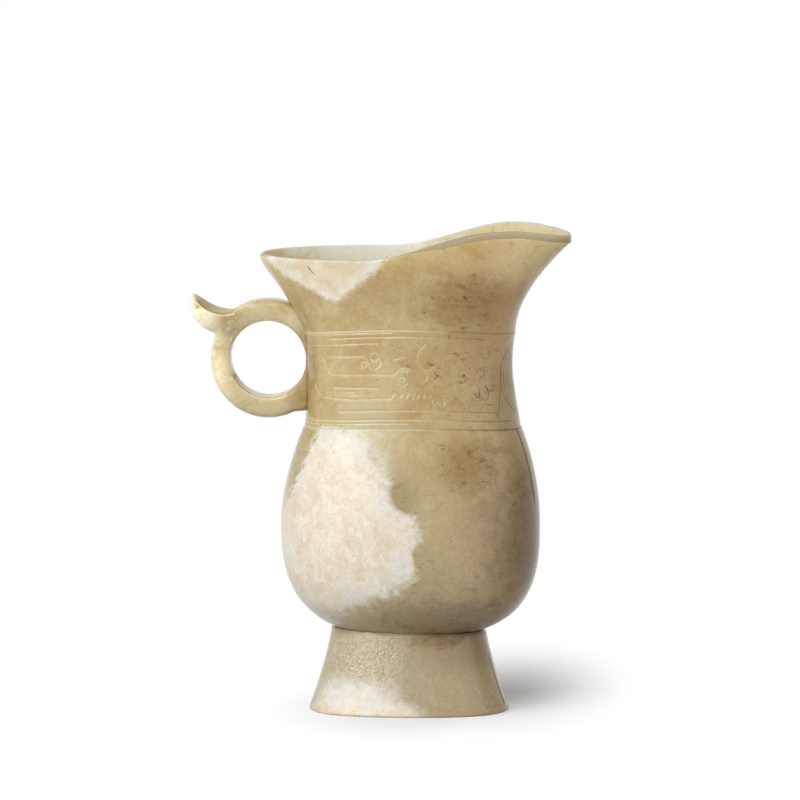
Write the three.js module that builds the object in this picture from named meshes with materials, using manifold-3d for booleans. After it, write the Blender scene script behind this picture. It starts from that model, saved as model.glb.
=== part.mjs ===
// Jade ewer: a flattened pear-shaped vessel on a spreading foot. Its mouth flares and draws out into a pouring
// lip, and a ring handle with a curled thumb rest stands against the neck. The stone is divided where its carver
// changed form: at the crease over the foot, at the two incised borders of the neck, and where the handle leaves
// the neck.
// The foot stands on z = 0, +X points to the spout, and Y is the thin way through the vessel.
import * as THREE from "three";
import { mergeVertices } from "three/addons/utils/BufferGeometryUtils.js";
import Module from "manifold-3d";

const wasm = await Module();
wasm.setup();

// Sizes in millimetres. Widths run along X, depths along Y and heights along Z.
const FOOT_HEIGHT = 19.6;
const FOOT_BASE_WIDTH = 48.2;
const FOOT_BASE_DEPTH = 33.4;
const FOOT_TOP_WIDTH = 37.4;
const FOOT_TOP_DEPTH = 26.4;
const FOOT_EDGE = 0.8; // rounding of the lower edge
const FOOT_RING = 4.2; // width of the ring that the ewer stands on
const FOOT_RECESS = 9; // depth of the hollow under the foot

const BELLY_HEIGHT = 49.8;
const BELLY_WIDTH = 62.6;
const BELLY_DEPTH = 44;
const BELLY_WIDEST = 26.2; // height of the widest section above the foot
const BELLY_WALL = 4;
const BELLY_FLOOR = 5;
const BELLY_LEAN = 0.35; // how far the belly's middle lies towards the spout
const LEAN_START = 5; // height above the foot over which that sets in

const NECK_HEIGHT = 23.4;
const NECK_BASE_WIDTH = 52.2;
const NECK_BASE_DEPTH = 37;
const NECK_LEAN = 0.85; // how far the middle of the neck's base lies towards the spout
const NECK_WAIST = 15; // height of the waist above the neck's base
const NECK_WAIST_WIDTH = 50;
const NECK_WAIST_DEPTH = 35;
const NECK_TOP_WIDTH = 51.8;
const NECK_TOP_DEPTH = 36.2;
const NECK_WALL = 3;
const LINE_WIDTH = 0.7; // the incised border lines of the neck
const LINE_DEPTH = 0.3;
const LOWER_LINES = [1.8, 4.6]; // heights above the neck's base
const UPPER_LINES = [1.6]; // depths below the neck's top

const SPOUT_REACH = 39.5; // from the foot's axis to the spout's tip
const BACK_REACH = 35.9; // from the foot's axis to the lip over the handle
const MOUTH_DRAW = 0.9; // how much less deep the mouth is than the neck's base: its broadest place is in line with it
const RIM_HEIGHT = 18; // height of the level part of the rim above the neck
const SPOUT_RISE = 6.6; // how far the rim climbs to the spout's shoulders
const SPOUT_DIP = 1.7; // how far it falls again to the spout's tip
const LIP = 2; // thickness of the cut edge

const RING_BORE = 18.4;
const RING_BAR = 4.75; // thickness of the bar, from the bore to the outside
const RING_DEPTH = 8.6;
const RING_LEVEL = 15.8; // height of the bore's axis above the neck's base
const FEATHER = 4.2; // half the height over which the bar would be thinner than about 0.6

const THUMB_REACH = 18.4; // from the bore's axis out to the tip
const THUMB_RISE = 14.5; // from the bore's axis up to the tip
const THUMB_WIDTH = 18;
const THUMB_ROOT = 5.8; // thickness where the rest leaves the ring
const THUMB_TIP = 1.1; // thickness at its end
const THUMB_ANGLE = 139; // degrees round the ring, from +X, where the rest leaves it
const THUMB_SINK = 0.7; // how far the root starts inside the ring's outside
const THUMB_DIP = 1.8; // how far the rest aims below its root before it curls up
const THUMB_CURL = 2.2; // how far the bend lies inward of the tip

const SEAM = 0.3; // clearance of a curved face cut to fit its neighbour

// Shape numbers, without a unit.
const SIDE_FLATNESS = 0.25; // 0 makes a section an ellipse, and more makes its long sides flatter
const FOOT_FLARE = 1.25;
const BOWL_FULLNESS = 2.5; // 2 makes the bowl's lower half elliptical, and more makes it fuller
const SHOULDER_FALL = 1.85;
const MOUTH_TAPER = 0.24; // how much narrower the mouth is towards the spout
const SIDE_CURL = 1.48; // flare of the mouth's sides: 1 is straight
const END_CURL = 0.3; // added towards the spout, and taken off towards the handle
const RISE_FROM = -0.27; // where the rim starts to climb, as a cosine of the angle round the mouth
const RISE_TO = 0.61;
const DIP_FROM = 0.72; // where the rim starts to fall again, likewise
const DIP_CURVE = 1.2;
const LIP_TURN = { back: 30, side: 12, shoulder: 58, tip: 86 }; // degrees that the cut edge leans out from level
const SHOULDER_FROM = -0.1; // where the cut edge starts to lean out towards the spout, as a cosine
const SHOULDER_TO = 0.3;
const TIP_FROM = 0.7; // where it starts to turn upright
const BACK_FROM = 0.4; // where it starts to lean out over the handle, as a cosine from that end
const THUMB_BROADEST = 0.6; // where the thumb rest is broadest, as a share of its length
const THUMB_POINT = 0.85; // how far its end narrows: 1 is a point

// Fineness of the facets.
const ROUND = 48;
const RING_STEPS = 40;
const BAR_SIDES = 14;
const THUMB_STEPS = 8;

// Levels and places that follow from the sizes.
const neckBase = FOOT_HEIGHT + BELLY_HEIGHT;
const neckTop = neckBase + NECK_HEIGHT;
const bellyFloor = FOOT_HEIGHT + BELLY_FLOOR;
const widestLevel = FOOT_HEIGHT + BELLY_WIDEST;
const boreRadius = RING_BORE / 2;
const ringRadius = boreRadius + RING_BAR;
const ringX = -(NECK_WAIST_WIDTH / 2 + boreRadius); // the bore touches the neck's waist
const ringZ = neckBase + RING_LEVEL;
const mouthDepth = NECK_BASE_DEPTH - MOUTH_DRAW;

const smoothstep = (from, to, x) => THREE.MathUtils.smoothstep(x, from, to);
const mix = THREE.MathUtils.lerp;

// Steps from 0 to 1, both ends included.
const shares = (count) => Array.from({ length: count + 1 }, (_, i) => i / count);

// Angles round a closed section, once round, without repeating the first.
const angles = (count) => Array.from({ length: count }, (_, i) => (2 * Math.PI * i) / count);

// How far a section's middle lies towards the spout: a little at the belly, most at the neck's base, and nothing
// at the neck's waist and above.
function lean(z) {
  const atBelly = BELLY_LEAN * smoothstep(FOOT_HEIGHT, FOOT_HEIGHT + LEAN_START, z);
  const atShoulder = (NECK_LEAN - BELLY_LEAN) * smoothstep(widestLevel, neckBase, z);
  return (atBelly + atShoulder) * (1 - smoothstep(neckBase, neckBase + NECK_WAIST, z));
}

// One level section of the vessel: an oval whose long sides are flattened.
function oval(width, depth, z) {
  return angles(ROUND).map((angle) => {
    const c = Math.cos(angle);
    const y = (depth / 2) * Math.sin(angle) * (1 + SIDE_FLATNESS * c * c);
    return new THREE.Vector3((width / 2) * c + lean(z), y, z);
  });
}

// A closed surface through rings of equal count. The rings run up the outside and down the inside of a shell.
// A ring of one point is a pole, which closes that end. Without poles the last ring joins the first.
function loft(rings) {
  const points = rings.flat();
  const starts = [];
  let next = 0;
  for (const ring of rings) {
    starts.push(next);
    next += ring.length;
  }
  const open = rings[0].length === 1;
  const count = Math.max(...rings.map((ring) => ring.length));
  const faces = [];
  const bands = open ? rings.length - 1 : rings.length;
  for (let i = 0; i < bands; i++) {
    const k = (i + 1) % rings.length;
    const low = (j) => starts[i] + (rings[i].length === 1 ? 0 : j % count);
    const high = (j) => starts[k] + (rings[k].length === 1 ? 0 : j % count);
    for (let j = 0; j < count; j++) {
      if (rings[i].length > 1) faces.push(low(j), low(j + 1), high(j));
      if (rings[k].length > 1) faces.push(low(j + 1), high(j + 1), high(j));
    }
  }
  const geometry = new THREE.BufferGeometry().setFromPoints(points);
  geometry.setIndex(faces);
  return geometry;
}

const pole = (x, z) => [new THREE.Vector3(x, 0, z)];

// Booleans between closed surfaces.
function solid(geometry) {
  const vertProperties = new Float32Array(geometry.attributes.position.array);
  const triVerts = new Uint32Array(geometry.index.array);
  return new wasm.Manifold(new wasm.Mesh({ numProp: 3, vertProperties, triVerts }));
}

function surface(manifold) {
  const mesh = manifold.getMesh();
  const geometry = new THREE.BufferGeometry();
  geometry.setAttribute("position", new THREE.BufferAttribute(mesh.vertProperties, 3));
  geometry.setIndex(new THREE.BufferAttribute(mesh.triVerts, 1));
  return geometry;
}

// Foot: an oval pedestal that spreads downwards, hollowed from below so that it stands on a ring.
function footSection(z, inset) {
  const spread = Math.pow((FOOT_HEIGHT - z) / (FOOT_HEIGHT - FOOT_EDGE), FOOT_FLARE);
  const width = mix(FOOT_TOP_WIDTH, FOOT_BASE_WIDTH, spread) - 2 * inset;
  const depth = mix(FOOT_TOP_DEPTH, FOOT_BASE_DEPTH, spread) - 2 * inset;
  return oval(width, depth, z);
}

function foot() {
  const recess = [FOOT_RECESS, FOOT_RECESS / 2, 0].map((z) => footSection(z, FOOT_RING));
  const standing = oval(FOOT_BASE_WIDTH - FOOT_EDGE, FOOT_BASE_DEPTH - FOOT_EDGE, 0);
  const outside = shares(5).map((t) => footSection(mix(FOOT_EDGE, FOOT_HEIGHT, t), 0));
  return loft([pole(0, FOOT_RECESS), ...recess, standing, ...outside, pole(0, FOOT_HEIGHT)]);
}

// Belly: a bowl that is full below its widest level, and a shoulder that falls in to the neck above it.
function bowlShare(level, bottom, edge) {
  // Share of the widest section left at a level, for a bowl that would close at the level named bottom.
  const drop = THREE.MathUtils.clamp((widestLevel - level) / (widestLevel - bottom), 0, 1);
  return edge + (1 - edge) * Math.pow(1 - Math.pow(drop, BOWL_FULLNESS), 1 / BOWL_FULLNESS);
}

function shoulder(level, widest, top) {
  const climb = (level - widestLevel) / (neckBase - widestLevel);
  return mix(widest, top, Math.pow(climb, SHOULDER_FALL));
}

// The bowl's outside would close a little below the foot's top, where its section equals the foot's.
function closingLevel(edge, widest) {
  const drop = Math.pow(1 - Math.pow(edge / widest, BOWL_FULLNESS), 1 / BOWL_FULLNESS);
  return widestLevel - BELLY_WIDEST / drop;
}

function bellyOutside(level) {
  if (level > widestLevel) {
    const width = shoulder(level, BELLY_WIDTH, NECK_BASE_WIDTH);
    const depth = shoulder(level, BELLY_DEPTH, NECK_BASE_DEPTH);
    return oval(width, depth, level);
  }
  const width = BELLY_WIDTH * bowlShare(level, closingLevel(FOOT_TOP_WIDTH, BELLY_WIDTH), 0);
  const depth = BELLY_DEPTH * bowlShare(level, closingLevel(FOOT_TOP_DEPTH, BELLY_DEPTH), 0);
  return oval(width, depth, level);
}

function bellyInside(level) {
  const width = BELLY_WIDTH - 2 * BELLY_WALL;
  const depth = BELLY_DEPTH - 2 * BELLY_WALL;
  if (level > widestLevel) {
    const neckWidth = NECK_BASE_WIDTH - 2 * NECK_WALL;
    const neckDepth = NECK_BASE_DEPTH - 2 * NECK_WALL;
    return oval(shoulder(level, width, neckWidth), shoulder(level, depth, neckDepth), level);
  }
  const share = bowlShare(level, bellyFloor, 0);
  return oval(width * share, depth * share, level);
}

function belly() {
  // Levels crowd towards the bottom of the bowl, where it turns fastest.
  const bowl = (bottom, t) => mix(bottom, widestLevel, t * t);
  const above = (t) => mix(widestLevel, neckBase, t);
  const outside = [
    ...shares(6).map((t) => bellyOutside(bowl(FOOT_HEIGHT, t))),
    ...shares(4).slice(1).map((t) => bellyOutside(above(t))),
  ];
  const inside = [
    ...shares(4).slice(1).reverse().map((t) => bellyInside(above(t))),
    ...shares(6).slice(1).reverse().map((t) => bellyInside(bowl(bellyFloor, t))),
  ];
  return loft([pole(0, FOOT_HEIGHT), ...outside, ...inside, pole(lean(bellyFloor), bellyFloor)]);
}

// Neck: a waisted sleeve with incised border lines.
function neckSize(level, base, waist, top) {
  const above = level - neckBase - NECK_WAIST;
  const end = above > 0 ? top : base;
  const share = above / (above > 0 ? NECK_HEIGHT - NECK_WAIST : NECK_WAIST);
  return mix(waist, end, share * share);
}

function neckSection(level, inset) {
  const width = neckSize(level, NECK_BASE_WIDTH, NECK_WAIST_WIDTH, NECK_TOP_WIDTH) - 2 * inset;
  const depth = neckSize(level, NECK_BASE_DEPTH, NECK_WAIST_DEPTH, NECK_TOP_DEPTH) - 2 * inset;
  return oval(width, depth, level);
}

function neckBand() {
  const groove = (level) => [
    neckSection(level - LINE_WIDTH / 2, 0),
    neckSection(level, LINE_DEPTH),
    neckSection(level + LINE_WIDTH / 2, 0),
  ];
  const waist = [0.7, 1, 1.25].map((share) => neckSection(neckBase + NECK_WAIST * share, 0));
  const outside = [
    neckSection(neckBase, 0),
    ...LOWER_LINES.flatMap((height) => groove(neckBase + height)),
    ...waist,
    ...UPPER_LINES.flatMap((below) => groove(neckTop - below)),
    neckSection(neckTop, 0),
  ];
  const inside = shares(3).reverse().map((t) => neckSection(mix(neckBase, neckTop, t), NECK_WALL));
  return loft([...outside, ...inside]);
}

// Mouth: the neck's top section drawn out to the lip, which climbs to the spout's shoulders and dips at its tip.
function rimLevel(c) {
  const climb = SPOUT_RISE * smoothstep(RISE_FROM, RISE_TO, c);
  const dip = SPOUT_DIP * Math.pow(Math.max(0, (c - DIP_FROM) / (1 - DIP_FROM)), DIP_CURVE);
  return neckTop + RIM_HEIGHT + climb - dip;
}

// The cut edge lies nearly level over the sides, leans out along the spout's shoulders and is upright at its tip.
function lipTurn(c) {
  const shoulder = mix(LIP_TURN.side, LIP_TURN.shoulder, smoothstep(SHOULDER_FROM, SHOULDER_TO, c));
  const tip = mix(shoulder, LIP_TURN.tip, smoothstep(TIP_FROM, 1, c));
  return THREE.MathUtils.degToRad(mix(tip, LIP_TURN.back, smoothstep(BACK_FROM, 1, -c)));
}

// The lip seen from above: an egg whose narrow end is the spout, taken in by an inset.
function lipPlan(angle, inset) {
  const c = Math.cos(angle);
  const s = Math.sin(angle);
  const halfLength = (SPOUT_REACH + BACK_REACH) / 2 - inset;
  const x = (SPOUT_REACH - BACK_REACH) / 2 + halfLength * c;
  return new THREE.Vector2(x, (mouthDepth / 2 - inset) * s * (1 - MOUTH_TAPER * c));
}

// A ring of the mouth's outer or inner face, at a share of the way up from the neck to the lip.
function mouthRing(share, inner, clearance = 0) {
  const wall = inner ? NECK_WALL : -clearance;
  const root = oval(NECK_TOP_WIDTH - 2 * wall, NECK_TOP_DEPTH - 2 * wall, neckTop);
  return angles(ROUND).map((angle, j) => {
    const c = Math.cos(angle);
    const turn = lipTurn(c);
    const edge = lipPlan(angle, inner ? LIP * Math.cos(turn) : -clearance);
    const top = rimLevel(c) - (inner ? 0 : LIP * Math.sin(turn));
    const drawn = Math.pow(share, SIDE_CURL + END_CURL * c);
    const x = mix(root[j].x, edge.x, drawn);
    const y = mix(root[j].y, edge.y, drawn);
    return new THREE.Vector3(x, y, mix(neckTop, top, share));
  });
}

function flaredMouth() {
  const outside = shares(8).map((t) => mouthRing(t, false));
  const inside = shares(8).reverse().map((t) => mouthRing(t, true));
  return loft([...outside, ...inside]);
}

// The neck and mouth as one plain solid grown by the seam, which cuts the handle to fit against them.
function neckCutter() {
  const neck = shares(4).map((t) => neckSection(mix(neckBase, neckTop, t), -SEAM));
  const mouth = shares(8).slice(1).map((t) => mouthRing(t, false, SEAM));
  return solid(loft([pole(0, neckBase), ...neck, ...mouth, pole(0, neckTop + RIM_HEIGHT)]));
}

// Handle ring: a bar of rounded oblong section bent round the bore, and cut to stand against the neck and mouth.
function ringBar() {
  const middle = boreRadius + RING_BAR / 2;
  const round = (value) => Math.sign(value) * Math.sqrt(Math.abs(value)); // softens the bar's four edges
  const rings = angles(RING_STEPS).map((turn) =>
    angles(BAR_SIDES).map((angle) => {
      const radius = middle + (RING_BAR / 2) * round(Math.cos(angle));
      const y = (RING_DEPTH / 2) * round(Math.sin(angle));
      return new THREE.Vector3(ringX + radius * Math.cos(turn), y, ringZ + radius * Math.sin(turn));
    }),
  );
  return solid(loft(rings));
}

// The bar would thin to a feather edge where its bore nears the neck, so a block takes those edges off square.
function featherBlock() {
  const near = Math.sqrt(boreRadius * boreRadius - FEATHER * FEATHER);
  const block = new THREE.BoxGeometry(NECK_WAIST_WIDTH, 2 * RING_DEPTH, 2 * FEATHER);
  block.translate(ringX + near + NECK_WAIST_WIDTH / 2, 0, ringZ);
  block.deleteAttribute("normal");
  block.deleteAttribute("uv");
  return solid(mergeVertices(block));
}

function handleRing() {
  return surface(ringBar().subtract(neckCutter()).subtract(featherBlock()));
}

// Thumb rest: a tongue that leaves the ring, dips, broadens and curls up to a thin tip.
function thumbPath() {
  const angle = THREE.MathUtils.degToRad(THUMB_ANGLE);
  const sunk = ringRadius - THUMB_SINK;
  const root = new THREE.Vector3(ringX + sunk * Math.cos(angle), 0, ringZ + sunk * Math.sin(angle));
  const tip = new THREE.Vector3(ringX - THUMB_REACH, 0, ringZ + THUMB_RISE);
  const bend = new THREE.Vector3(tip.x + THUMB_CURL, 0, root.z - THUMB_DIP);
  return new THREE.QuadraticBezierCurve3(root, bend, tip);
}

function thumbWidth(share) {
  if (share < THUMB_BROADEST) return mix(RING_DEPTH, THUMB_WIDTH, smoothstep(0, THUMB_BROADEST, share));
  const past = (share - THUMB_BROADEST) / (1 - THUMB_BROADEST);
  return THUMB_WIDTH * Math.sqrt(1 - THUMB_POINT * past * past);
}

function thumbRest() {
  const path = thumbPath();
  const rings = shares(THUMB_STEPS).map((share) => {
    const centre = path.getPoint(share);
    const along = path.getTangent(share);
    const halfWidth = thumbWidth(share) / 2;
    const halfThickness = mix(THUMB_ROOT, THUMB_TIP, share * share) / 2;
    return angles(BAR_SIDES).map((angle) => {
      const up = halfThickness * Math.cos(angle);
      return new THREE.Vector3(centre.x + up * along.z, halfWidth * Math.sin(angle), centre.z - up * along.x);
    });
  });
  const ends = [path.getPoint(0), path.getPoint(1)];
  const tongue = solid(loft([pole(ends[0].x, ends[0].z), ...rings, pole(ends[1].x, ends[1].z)]));
  const seat = ringRadius + SEAM;
  const ringCutter = new THREE.CylinderGeometry(seat, seat, 2 * THUMB_WIDTH, 2 * RING_STEPS);
  ringCutter.translate(ringX, 0, ringZ);
  ringCutter.deleteAttribute("normal");
  ringCutter.deleteAttribute("uv");
  return surface(tongue.subtract(solid(mergeVertices(ringCutter))));
}

// The members together, moved so that the origin lies under the middle of the whole ewer.
const vessel = new THREE.Group();

function add(name, geometry, colour) {
  const mesh = new THREE.Mesh(geometry, new THREE.MeshStandardMaterial({ color: colour, roughness: 0.35 }));
  mesh.name = name;
  vessel.add(mesh);
}

add("foot", foot(), 0xb0a07c);
add("belly", belly(), 0xc4b48c);
add("neck_band", neckBand(), 0xb8a27a);
add("flared_mouth", flaredMouth(), 0xbca47a);
add("handle_ring", handleRing(), 0xc8b890);
add("thumb_rest", thumbRest(), 0xdccfae);

const box = new THREE.Box3().setFromObject(vessel);
vessel.position.x = -(box.min.x + box.max.x) / 2;

const ewer = new THREE.Group();
ewer.name = "jade_ewer";
ewer.add(vessel);

export default ewer;
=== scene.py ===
"""Jade ewer: the stone's finished skin, its material, the camera, the light and the floor."""
import math

import bpy
import numpy as np
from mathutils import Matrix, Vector


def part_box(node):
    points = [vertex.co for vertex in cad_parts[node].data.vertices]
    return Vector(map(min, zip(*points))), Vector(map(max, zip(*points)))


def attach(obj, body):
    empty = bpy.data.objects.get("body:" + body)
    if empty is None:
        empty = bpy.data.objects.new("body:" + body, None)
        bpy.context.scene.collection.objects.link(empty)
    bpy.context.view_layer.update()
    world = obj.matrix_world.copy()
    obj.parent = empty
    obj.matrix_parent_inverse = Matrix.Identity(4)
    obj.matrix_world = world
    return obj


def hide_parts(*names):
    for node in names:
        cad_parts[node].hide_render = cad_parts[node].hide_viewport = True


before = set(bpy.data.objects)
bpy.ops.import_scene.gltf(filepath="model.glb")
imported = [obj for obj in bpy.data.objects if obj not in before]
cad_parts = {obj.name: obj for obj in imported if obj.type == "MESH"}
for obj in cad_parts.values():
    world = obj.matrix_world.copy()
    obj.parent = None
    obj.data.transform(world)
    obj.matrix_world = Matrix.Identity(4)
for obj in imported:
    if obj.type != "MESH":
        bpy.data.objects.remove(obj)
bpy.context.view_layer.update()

MM = 0.001
foot_low, foot_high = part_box("foot")
AXIS_X = (foot_low.x + foot_high.x) / 2  # the foot's axis, in metres

# Sizes of the carved form in millimetres, close to those of the solids. Widths run along X from the foot's
# axis, depths along Y and heights along Z. A pair of halves is half the width and half the depth. A fade is
# where an S curve is 0 and where it is 1. Round the vessel it is given in cosines of the turn, 1 at the spout
# and -1 at the handle.
WIDTH = 0
DEPTH = 1

FOOT_HEIGHT = 19.6
FOOT_BASE = (24.2, 16.8)
FOOT_TOP = (18.7, 13.2)
FOOT_EDGE = 0.5  # radius of the rounded lower edge
FOOT_RING = 4.2  # width of the ring that it stands on
FOOT_RECESS = 9.0
FOOT_FLARE = 1.3  # power of the height by which the foot spreads
FLARE_END = 1.05  # the flare is followed a little past the lower edge

CREASE_CLIMB = 0.35  # half of what the crease over the foot climbs from spout to handle
CREASE_CUT = 0.25
CREASE_FADE = (-0.95, -0.3)
CREASE_ON_FOOT = (0.5, 0.9)  # widths of the cut and of the tone in it, dirt and painted shade
CREASE_ON_BELLY = (0.4, 0.8)

BELLY_WIDEST = 45.8
BELLY_HALF = (31.3, 22.0)
BELLY_WALL = 4.0
BELLY_FLOOR = 24.6
BELLY_LEAN = 0.35
LEAN_START = 5.0  # height over the foot at which the belly's lean is full
BOWL_FULLNESS = 2.85
BOWL_SKEW = 0.1  # how much fuller the bowl is at the spout
TUCK = 1.1  # how far the bowl draws in behind the foot's top at its two ends
SHOULDER_FALL = 1.85

NECK_BASE = 69.4
NECK_BASE_HALF = (26.1, 18.5)
NECK_LEAN = 0.85
NECK_WAIST = 84.4
NECK_WAIST_HALF = (25.0, 17.5)
NECK_TOP = 92.8
NECK_TOP_HALF = (25.9, 18.1)
NECK_WALL = 3.0

# The neck's border lines rise towards the middle of each broad side, and the stone is divided along them.
LOW_BORDER = NECK_BASE - 0.4
LOW_BORDER_RISE = 1.3
HIGH_BORDER = NECK_TOP - 0.8
HIGH_BORDER_RISE = 2.0
SEAM_CUT = 0.09
SEAM_WIDTH = 0.25
SEAM_DIRT_AND_SHADE = 0.5  # how much of the dirt and painted shade is left in the border lines at the spout
# the belly's border line takes a painted highlight towards the handle, and dirt with painted shade towards
# the spout
BELLY_SEAM_TONE = 0.7
BELLY_SEAM_WIDTH = 0.3
SEAM_DIRT_AND_SHADE_FADE = (8, 18)

# A line is cut down each side of the spout end, on belly and foot: how far it lies from the middle, and the
# levels where it starts and ends.
BELLY_LINE = 5.8
BELLY_LINE_START = (48, 55)
FOOT_LINE = 3.4
FOOT_LINE_START = (1.5, 2)
FOOT_LINE_END = (15, 12)
LINE_CUT = 0.2
LINE_WIDTH = 0.28
PLINTH_LEVEL = 1.9  # a short line along the foot's lower edge, at the spout
PLINTH_WIDTH = 0.2
PLINTH_SHARE = 0.6
PLINTH_FADE = (0.7, 0.97)

SPOUT_REACH = 39.2
BACK_REACH = 36.0
BACK_ROUND = 1.3  # how far the wall is rounded under the rim over the handle
BACK_ROUND_FADE = (-0.55, -1)
BACK_ROUND_POWER = 6
MOUTH_HALF_DEPTH = 18.05
MOUTH_TAPER = 0.24
RIM_LEVEL = 110.8
SPOUT_RISE = 6.6
SPOUT_DIP = 1.7
RISE_FADE = (-0.27, 0.61)
DIP_FROM = 0.72
DIP_CURVE = 1.2
RIM_SKEW = math.radians(3.7)  # the climb comes a little sooner on the near side, as the hand carved it
LIP = 2.0
LIP_BACK = 0.45  # the lip's width over the handle, as a share of LIP
LIP_FADE = (-0.15, 0.3)
LIP_SOFT = 0.12  # how far the cut edge is crowned
LIP_SQUARE = 0.6
LIP_MARK_START = 0.3  # the lip's mark at its outer side
SIDE_CURL = 1.48
END_CURL = 0.3
MOUTH_EVEN = 3  # power of the way up by which unevenness dies out towards the lip

# How far the rim's cut edge leans out from level, in degrees.
SIDE_TURN = 12
SHOULDER_TURN = 58
TIP_TURN = 86
BACK_TURN = 30
SHOULDER_FADE = (-0.1, 0.3)
TIP_FADE = (0.7, 1)
BACK_FADE = (-0.4, -1)

SIDE_FLATNESS = 0.25  # how far a section's long sides are flattened

# Fades round the ring are in degrees, from the side at the neck upwards.
BORE = 9.2
BAR = 4.75
BAR_DEPTH = 8.6
RING_X = -33.85
RING_Z = 85.2
RING_OVAL = 0.45  # how much the ring's outside is drawn out upwards and downwards
RING_SWELL = 1.5
SWELL_START = (-66, -50)
SWELL_END = (0, -30)
WALL_PLANE = -23.6  # the bar ends on this plane, inside the neck's wall
LEAST_COSINE = 0.05  # past this the bar doesn't meet that plane
NECK_SPREAD = 0.7  # how much deeper the bar is on each side at the neck
NECK_SPREAD_FADE = (0.35, 0.85)  # this one in cosines, 1 at the neck
OUTER_SQUARE = 3.6
BORE_SQUARE = 9
SHARP_START = (96, 122)
SHARP_END = (176, 150)
THUMB_SPREAD = 2.0  # how much deeper the bar is under the thumb rest
SPREAD_START = (104, 146)
SPREAD_END = (182, 152)
SPREAD_POWER = 0.8

# The thumb rest's upper and lower edges seen from the side, as the four points of a cubic curve from ring to
# tip. Fades along it are shares of the way to the tip.
THUMB_UPPER = [(-39.5, 97.9), (-43.1, 95.3), (-48.1, 96.3), (-52.1, 100.7)]
THUMB_LOWER = [(-44.3, 90.6), (-48.3, 91.6), (-52.7, 94.6), (-52.9, 99.9)]
THUMB_JOIN = (-44.7, 91.4)
THUMB_TIP = THUMB_UPPER[-1]
THUMB_WIDTH = 16.8
THUMB_BROADENS = (-0.05, 0.5)
THUMB_SQUARE = 6
THUMB_DISH = 0.9
DISH_START = (0, 0.4)
DISH_END = (0.95, 0.6)
DISH_TOP = (0.3, 1)
DISH_SIDE = (0.95, 0.45)
TIP_FROM = 0.55
TIP_NARROWS = 0.92
TIP_POWER = 2.6

# Smoothing of the handle: width of the area in millimetres, and rounds.
VOXEL = 0.2
ALL_ROUNDS = 5
SIDE_ROUNDS = 700
SIDE_FACING = (0.45, 0.75)
SIDE_AREA = (11, 6)
JOIN_AREA = 2.4
JOIN_ROUNDS = 30
TIP_AREA = 1.8
TIP_ROUNDS = 25
RIDGE_ROUNDS = 8
RIDGE_PROUD = (0.02, 0.05)

# Slow unevenness left by hand grinding: how far it goes, then the strength of each pair of crossed waves,
# whose numbers are the angle gained for each millimetre of X, Y and Z, and the angle they start from.
UNEVEN = 0.1
GRINDING_WAVES = [
    (0.3, (0.21, 0, 0.13, 0.6), (0, -0.11, 0.17, 1.3)),
    (0.2, (0, 0.19, 0.33, -0.8), (0.27, 0, -0.08, 0)),
]

# Rows and columns of the skins. Where they crowd is a share of the way, a width and the extra density.
FOOT_COLUMNS = 440
FOOT_LINES_CROWD = [(0.03, 0.012, 3), (0.97, 0.012, 3)]
FOOT_ROWS = 89
FOOT_CROWD = [(1.0, 0.05, 4), (0.05, 0.03, 3)]
FOOT_EDGE_ROWS = 8
RECESS_ROWS = 12
BELLY_COLUMNS = 520
BELLY_LINES_CROWD = [(0.037, 0.012, 4), (0.963, 0.012, 4)]
BOWL_ROWS = 76
BOWL_CROWD = [(0.0, 0.04, 3)]
BOWL_SPACING = 1.5
SHOULDER_ROWS = 77
SHOULDER_CROWD = [(1.0, 0.02, 5)]
INNER_SHOULDER_ROWS = 12
INNER_BOWL_ROWS = 15
FLOOR_HOLE = 0.002  # share of the height at which the last inside row stops over the floor
NECK_COLUMNS = 800
NECK_TURN_CROWD = [(0.75, 0.15, 1.4), (0, 0.04, 0.5)]
NECK_ROWS = 117
NECK_CROWD = [(0, 0.02, 1), (1, 0.02, 1)]
RULE_CROWD = (0.008, 2)
INNER_NECK_ROWS = 6
MOUTH_COLUMNS = 480
MOUTH_ROWS = 96
MOUTH_CROWD = [(0.0, 0.03, 3), (1.0, 0.04, 2)]
INNER_MOUTH_ROWS = 60
INNER_MOUTH_CROWD = [(0.0, 0.04, 2)]
LIP_ROWS = 13
CORNER_ROWS = 5
CORNER_ROUNDS = 6
RING_ROWS = 360
THUMB_ROWS = 110
THUMB_CROWD = [(1.0, 0.08, 3)]
HANDLE_COLUMNS = 96
FINE_STEPS = 4000


def smoothstep(low, high, value):
    """0 at low, 1 at high, and an S curve between. The two may run downwards."""
    share = np.clip((value - low) / (high - low), 0, 1)
    return share * share * (3 - 2 * share)


def mix(a, b, share):
    return a + (b - a) * share


def bell(distance, width):
    """1 at distance 0, falling as a bell curve of that width."""
    return np.exp(-((distance / width) ** 2))


def column(values):
    return np.asarray(values, float)[:, None]


def wave(x, y, z, numbers):
    """A sine of an angle that grows with X, Y and Z."""
    with_x, with_y, with_z, start = numbers
    return np.sin(with_x * x + with_y * y + with_z * z + start)


def stations(count, crowded):
    """Shares from 0 to 1, crowded around the shares named: each is (share, width, extra density)."""
    fine = np.linspace(0, 1, FINE_STEPS)
    density = np.ones_like(fine)
    for share, width, extra in crowded:
        density = density + extra * bell(fine - share, width)
    total = np.concatenate([[0], np.cumsum((density[1:] + density[:-1]) / 2)])
    return np.interp(np.linspace(0, total[-1], count), total, fine)


def round_angles(count):
    """Even angles once round, for the vessel from the spout towards the far side."""
    return np.linspace(0, 2 * np.pi, count, endpoint=False)


def crowded_angles(count, crowded):
    """Angles once round the vessel, crowded around the shares of a turn named."""
    return 2 * np.pi * stations(count + 1, crowded)[:-1]


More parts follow.
